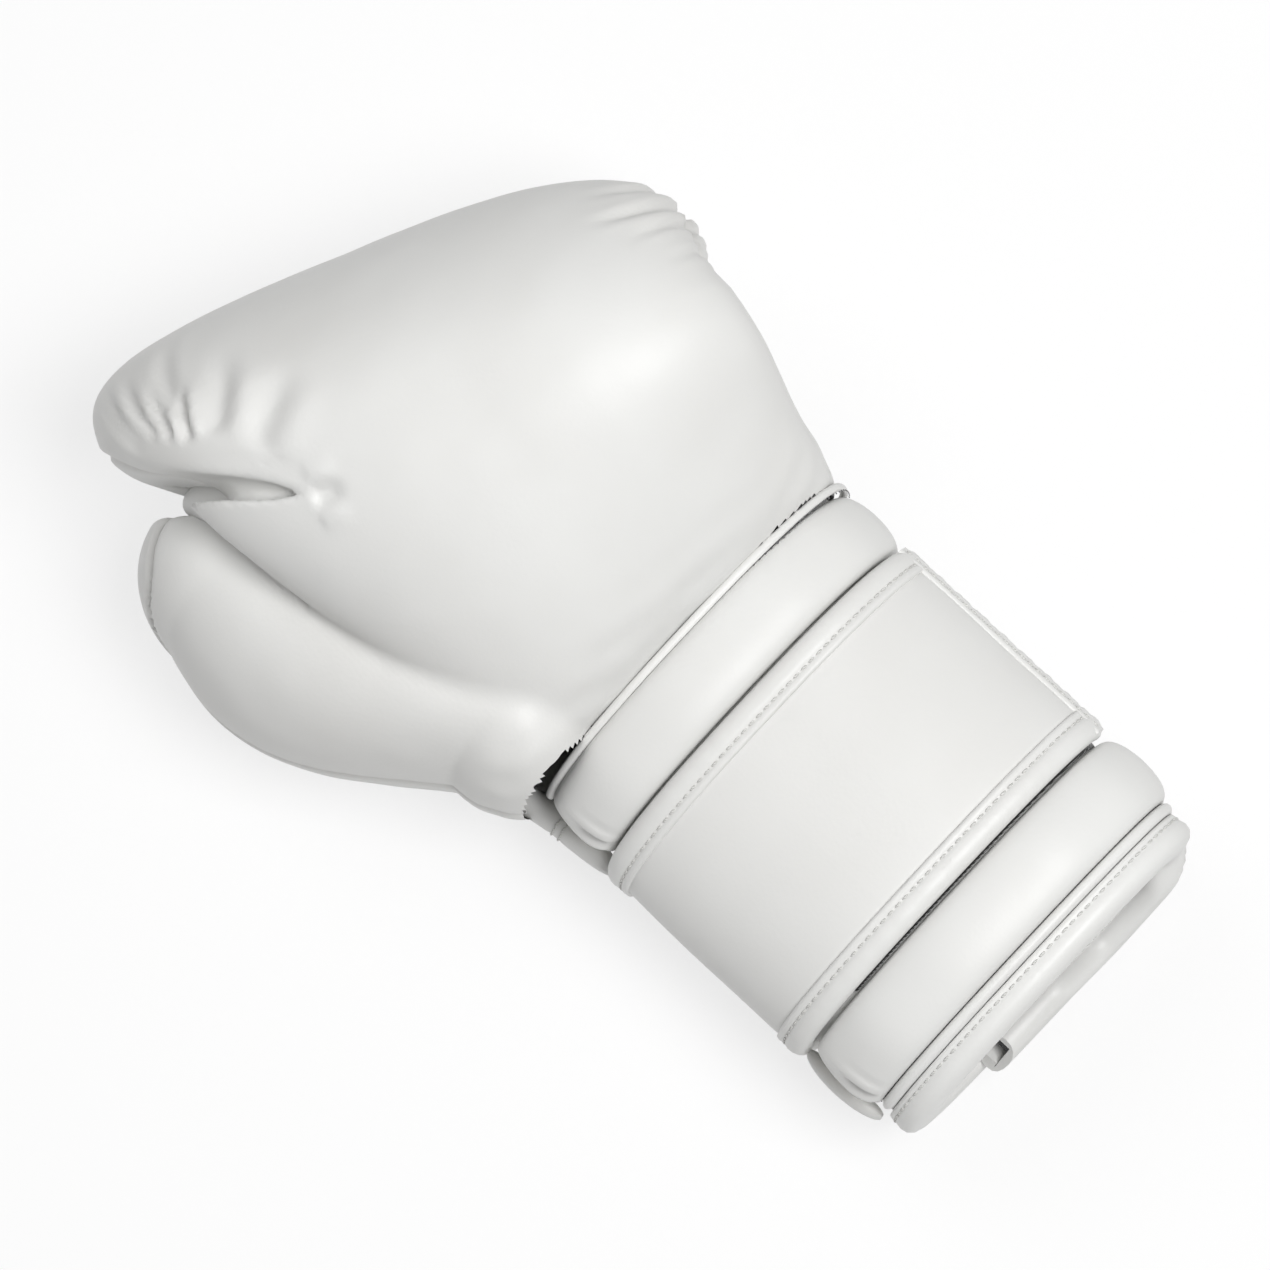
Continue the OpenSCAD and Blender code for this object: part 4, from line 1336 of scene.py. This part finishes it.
    def welt(self) -> None:
        """The raised edge of the wrist seam and the painted shadows of the needle holes beside it."""
        angles = np.radians(np.linspace(-168, 168, 260))
        turn = np.linspace(0, 2 * math.pi, 12, endpoint=False)
        rings, line, away = [], [], []
        for angle in angles:
            x, z = float(power(np.cos(angle), CUFF.roundness)), float(power(np.sin(angle), CUFF.roundness))
            lift = 0.9 * np.sin(turn)
            ring = np.stack([2 + (58.6 + lift) * x, 134.3 + 1.25 * np.cos(turn), (36.6 + lift) * z], axis=-1)
            rings.append(ring)
            line.append((2 + 58.9 * x, 132.6, 36.9 * z))
            away.append((x, -0.3, z))
        finish_piece(tube("wrist_welt_leather", np.array(rings), TRIM), "glove", ["wrist_welt"])
        finish_piece(NEEDLE_HOLE_SHADOWS.sew("wrist_seam_hole_shadows", [(np.array(line), np.array(away))]), "glove", [])


# ---------------------------------------------------------------- what stays from the frame, stage, camera


def dress_frame() -> None:
    """Gives the hidden foam and the deep thumb lining their materials."""
    for name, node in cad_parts.items():
        finish = LINING if "lining" in name else FOAM if "foam" in name else LEATHER
        for slot in node.material_slots:
            slot.material = finish.material()


@dataclass(frozen=True)
class Studio:
    """Paper floor, lamps and camera."""

    target: tuple[float, float, float] = (-7.7, 145.8, 20.0)
    tilt: float = 9.1
    roll: float = 47.0
    lens: float = 135.0
    width_mm: float = 344.0

    def build(self) -> None:
        """Makes the stage, the lamps and the camera."""
        size = 3000.0
        floor = make_mesh("paper_floor", [(-size, -size, GROUND - 0.15), (size, -size, GROUND - 0.15), (size, size, GROUND - 0.15),
                                          (-size, size, GROUND - 0.15)], [(0, 1, 2, 3)], PAPER)
        world = bpy.data.worlds.new("studio_air")
        bpy.context.scene.world = world
        world.use_nodes = True
        world.node_tree.nodes["Background"].inputs["Color"].default_value = linear("#FFFFFF")
        world.node_tree.nodes["Background"].inputs["Strength"].default_value = 0.25
        self.lamp("key_softbox", (0.35, -0.45, 1.5), 0.7, 21.0)
        self.lamp("fill_softbox", (0.1, 0.9, 1.4), 0.9, 5.0)
        self.camera()
        view = bpy.context.scene.view_settings
        view.view_transform = "Standard"

    def lamp(self, name: str, place: tuple[float, float, float], size: float, energy: float) -> None:
        """Adds one square softbox aimed at the glove."""
        light = bpy.data.lights.new(name, "AREA")
        light.size, light.energy = size, energy
        lamp = bpy.data.objects.new(name, light)
        lamp.location = place
        aim = Vector((0.0, 0.15, 0.0)) - Vector(place)
        lamp.rotation_euler = aim.to_track_quat("-Z", "Y").to_euler()
        bpy.context.scene.collection.objects.link(lamp)

    def camera(self) -> None:
        """Adds the camera, looking down on the back of the hand."""
        s, c = math.sin(math.radians(self.tilt)), math.cos(math.radians(self.tilt))
        back, across, ahead = Vector((0, -s, c)), Vector((1, 0, 0)), Vector((0, c, s))
        turn = math.radians(self.roll)
        right = across * math.cos(turn) - ahead * math.sin(turn)
        up = across * math.sin(turn) + ahead * math.cos(turn)
        data = bpy.data.cameras.new("studio_camera")
        data.lens, data.sensor_width = self.lens, 36.0
        data.clip_start, data.clip_end = 0.05, 20.0
        distance = self.width_mm * MM * self.lens / 36.0
        camera = bpy.data.objects.new("studio_camera", data)
        place = Vector(self.target) * MM + back * distance
        turned = Matrix((right, up, back)).transposed().to_4x4()
        camera.matrix_world = Matrix.Translation(place) @ turned
        bpy.context.scene.collection.objects.link(camera)
        bpy.context.scene.camera = camera


def main() -> None:
    """Builds the studio, then the glove from its sub-assemblies."""
    logging.basicConfig(level=logging.INFO, format="%(name)s %(message)s")
    Studio().build()
    dress_frame()
    Cuff().build()
    Strap().build()
    Hand().build()


if __name__ == "__main__":
    main()
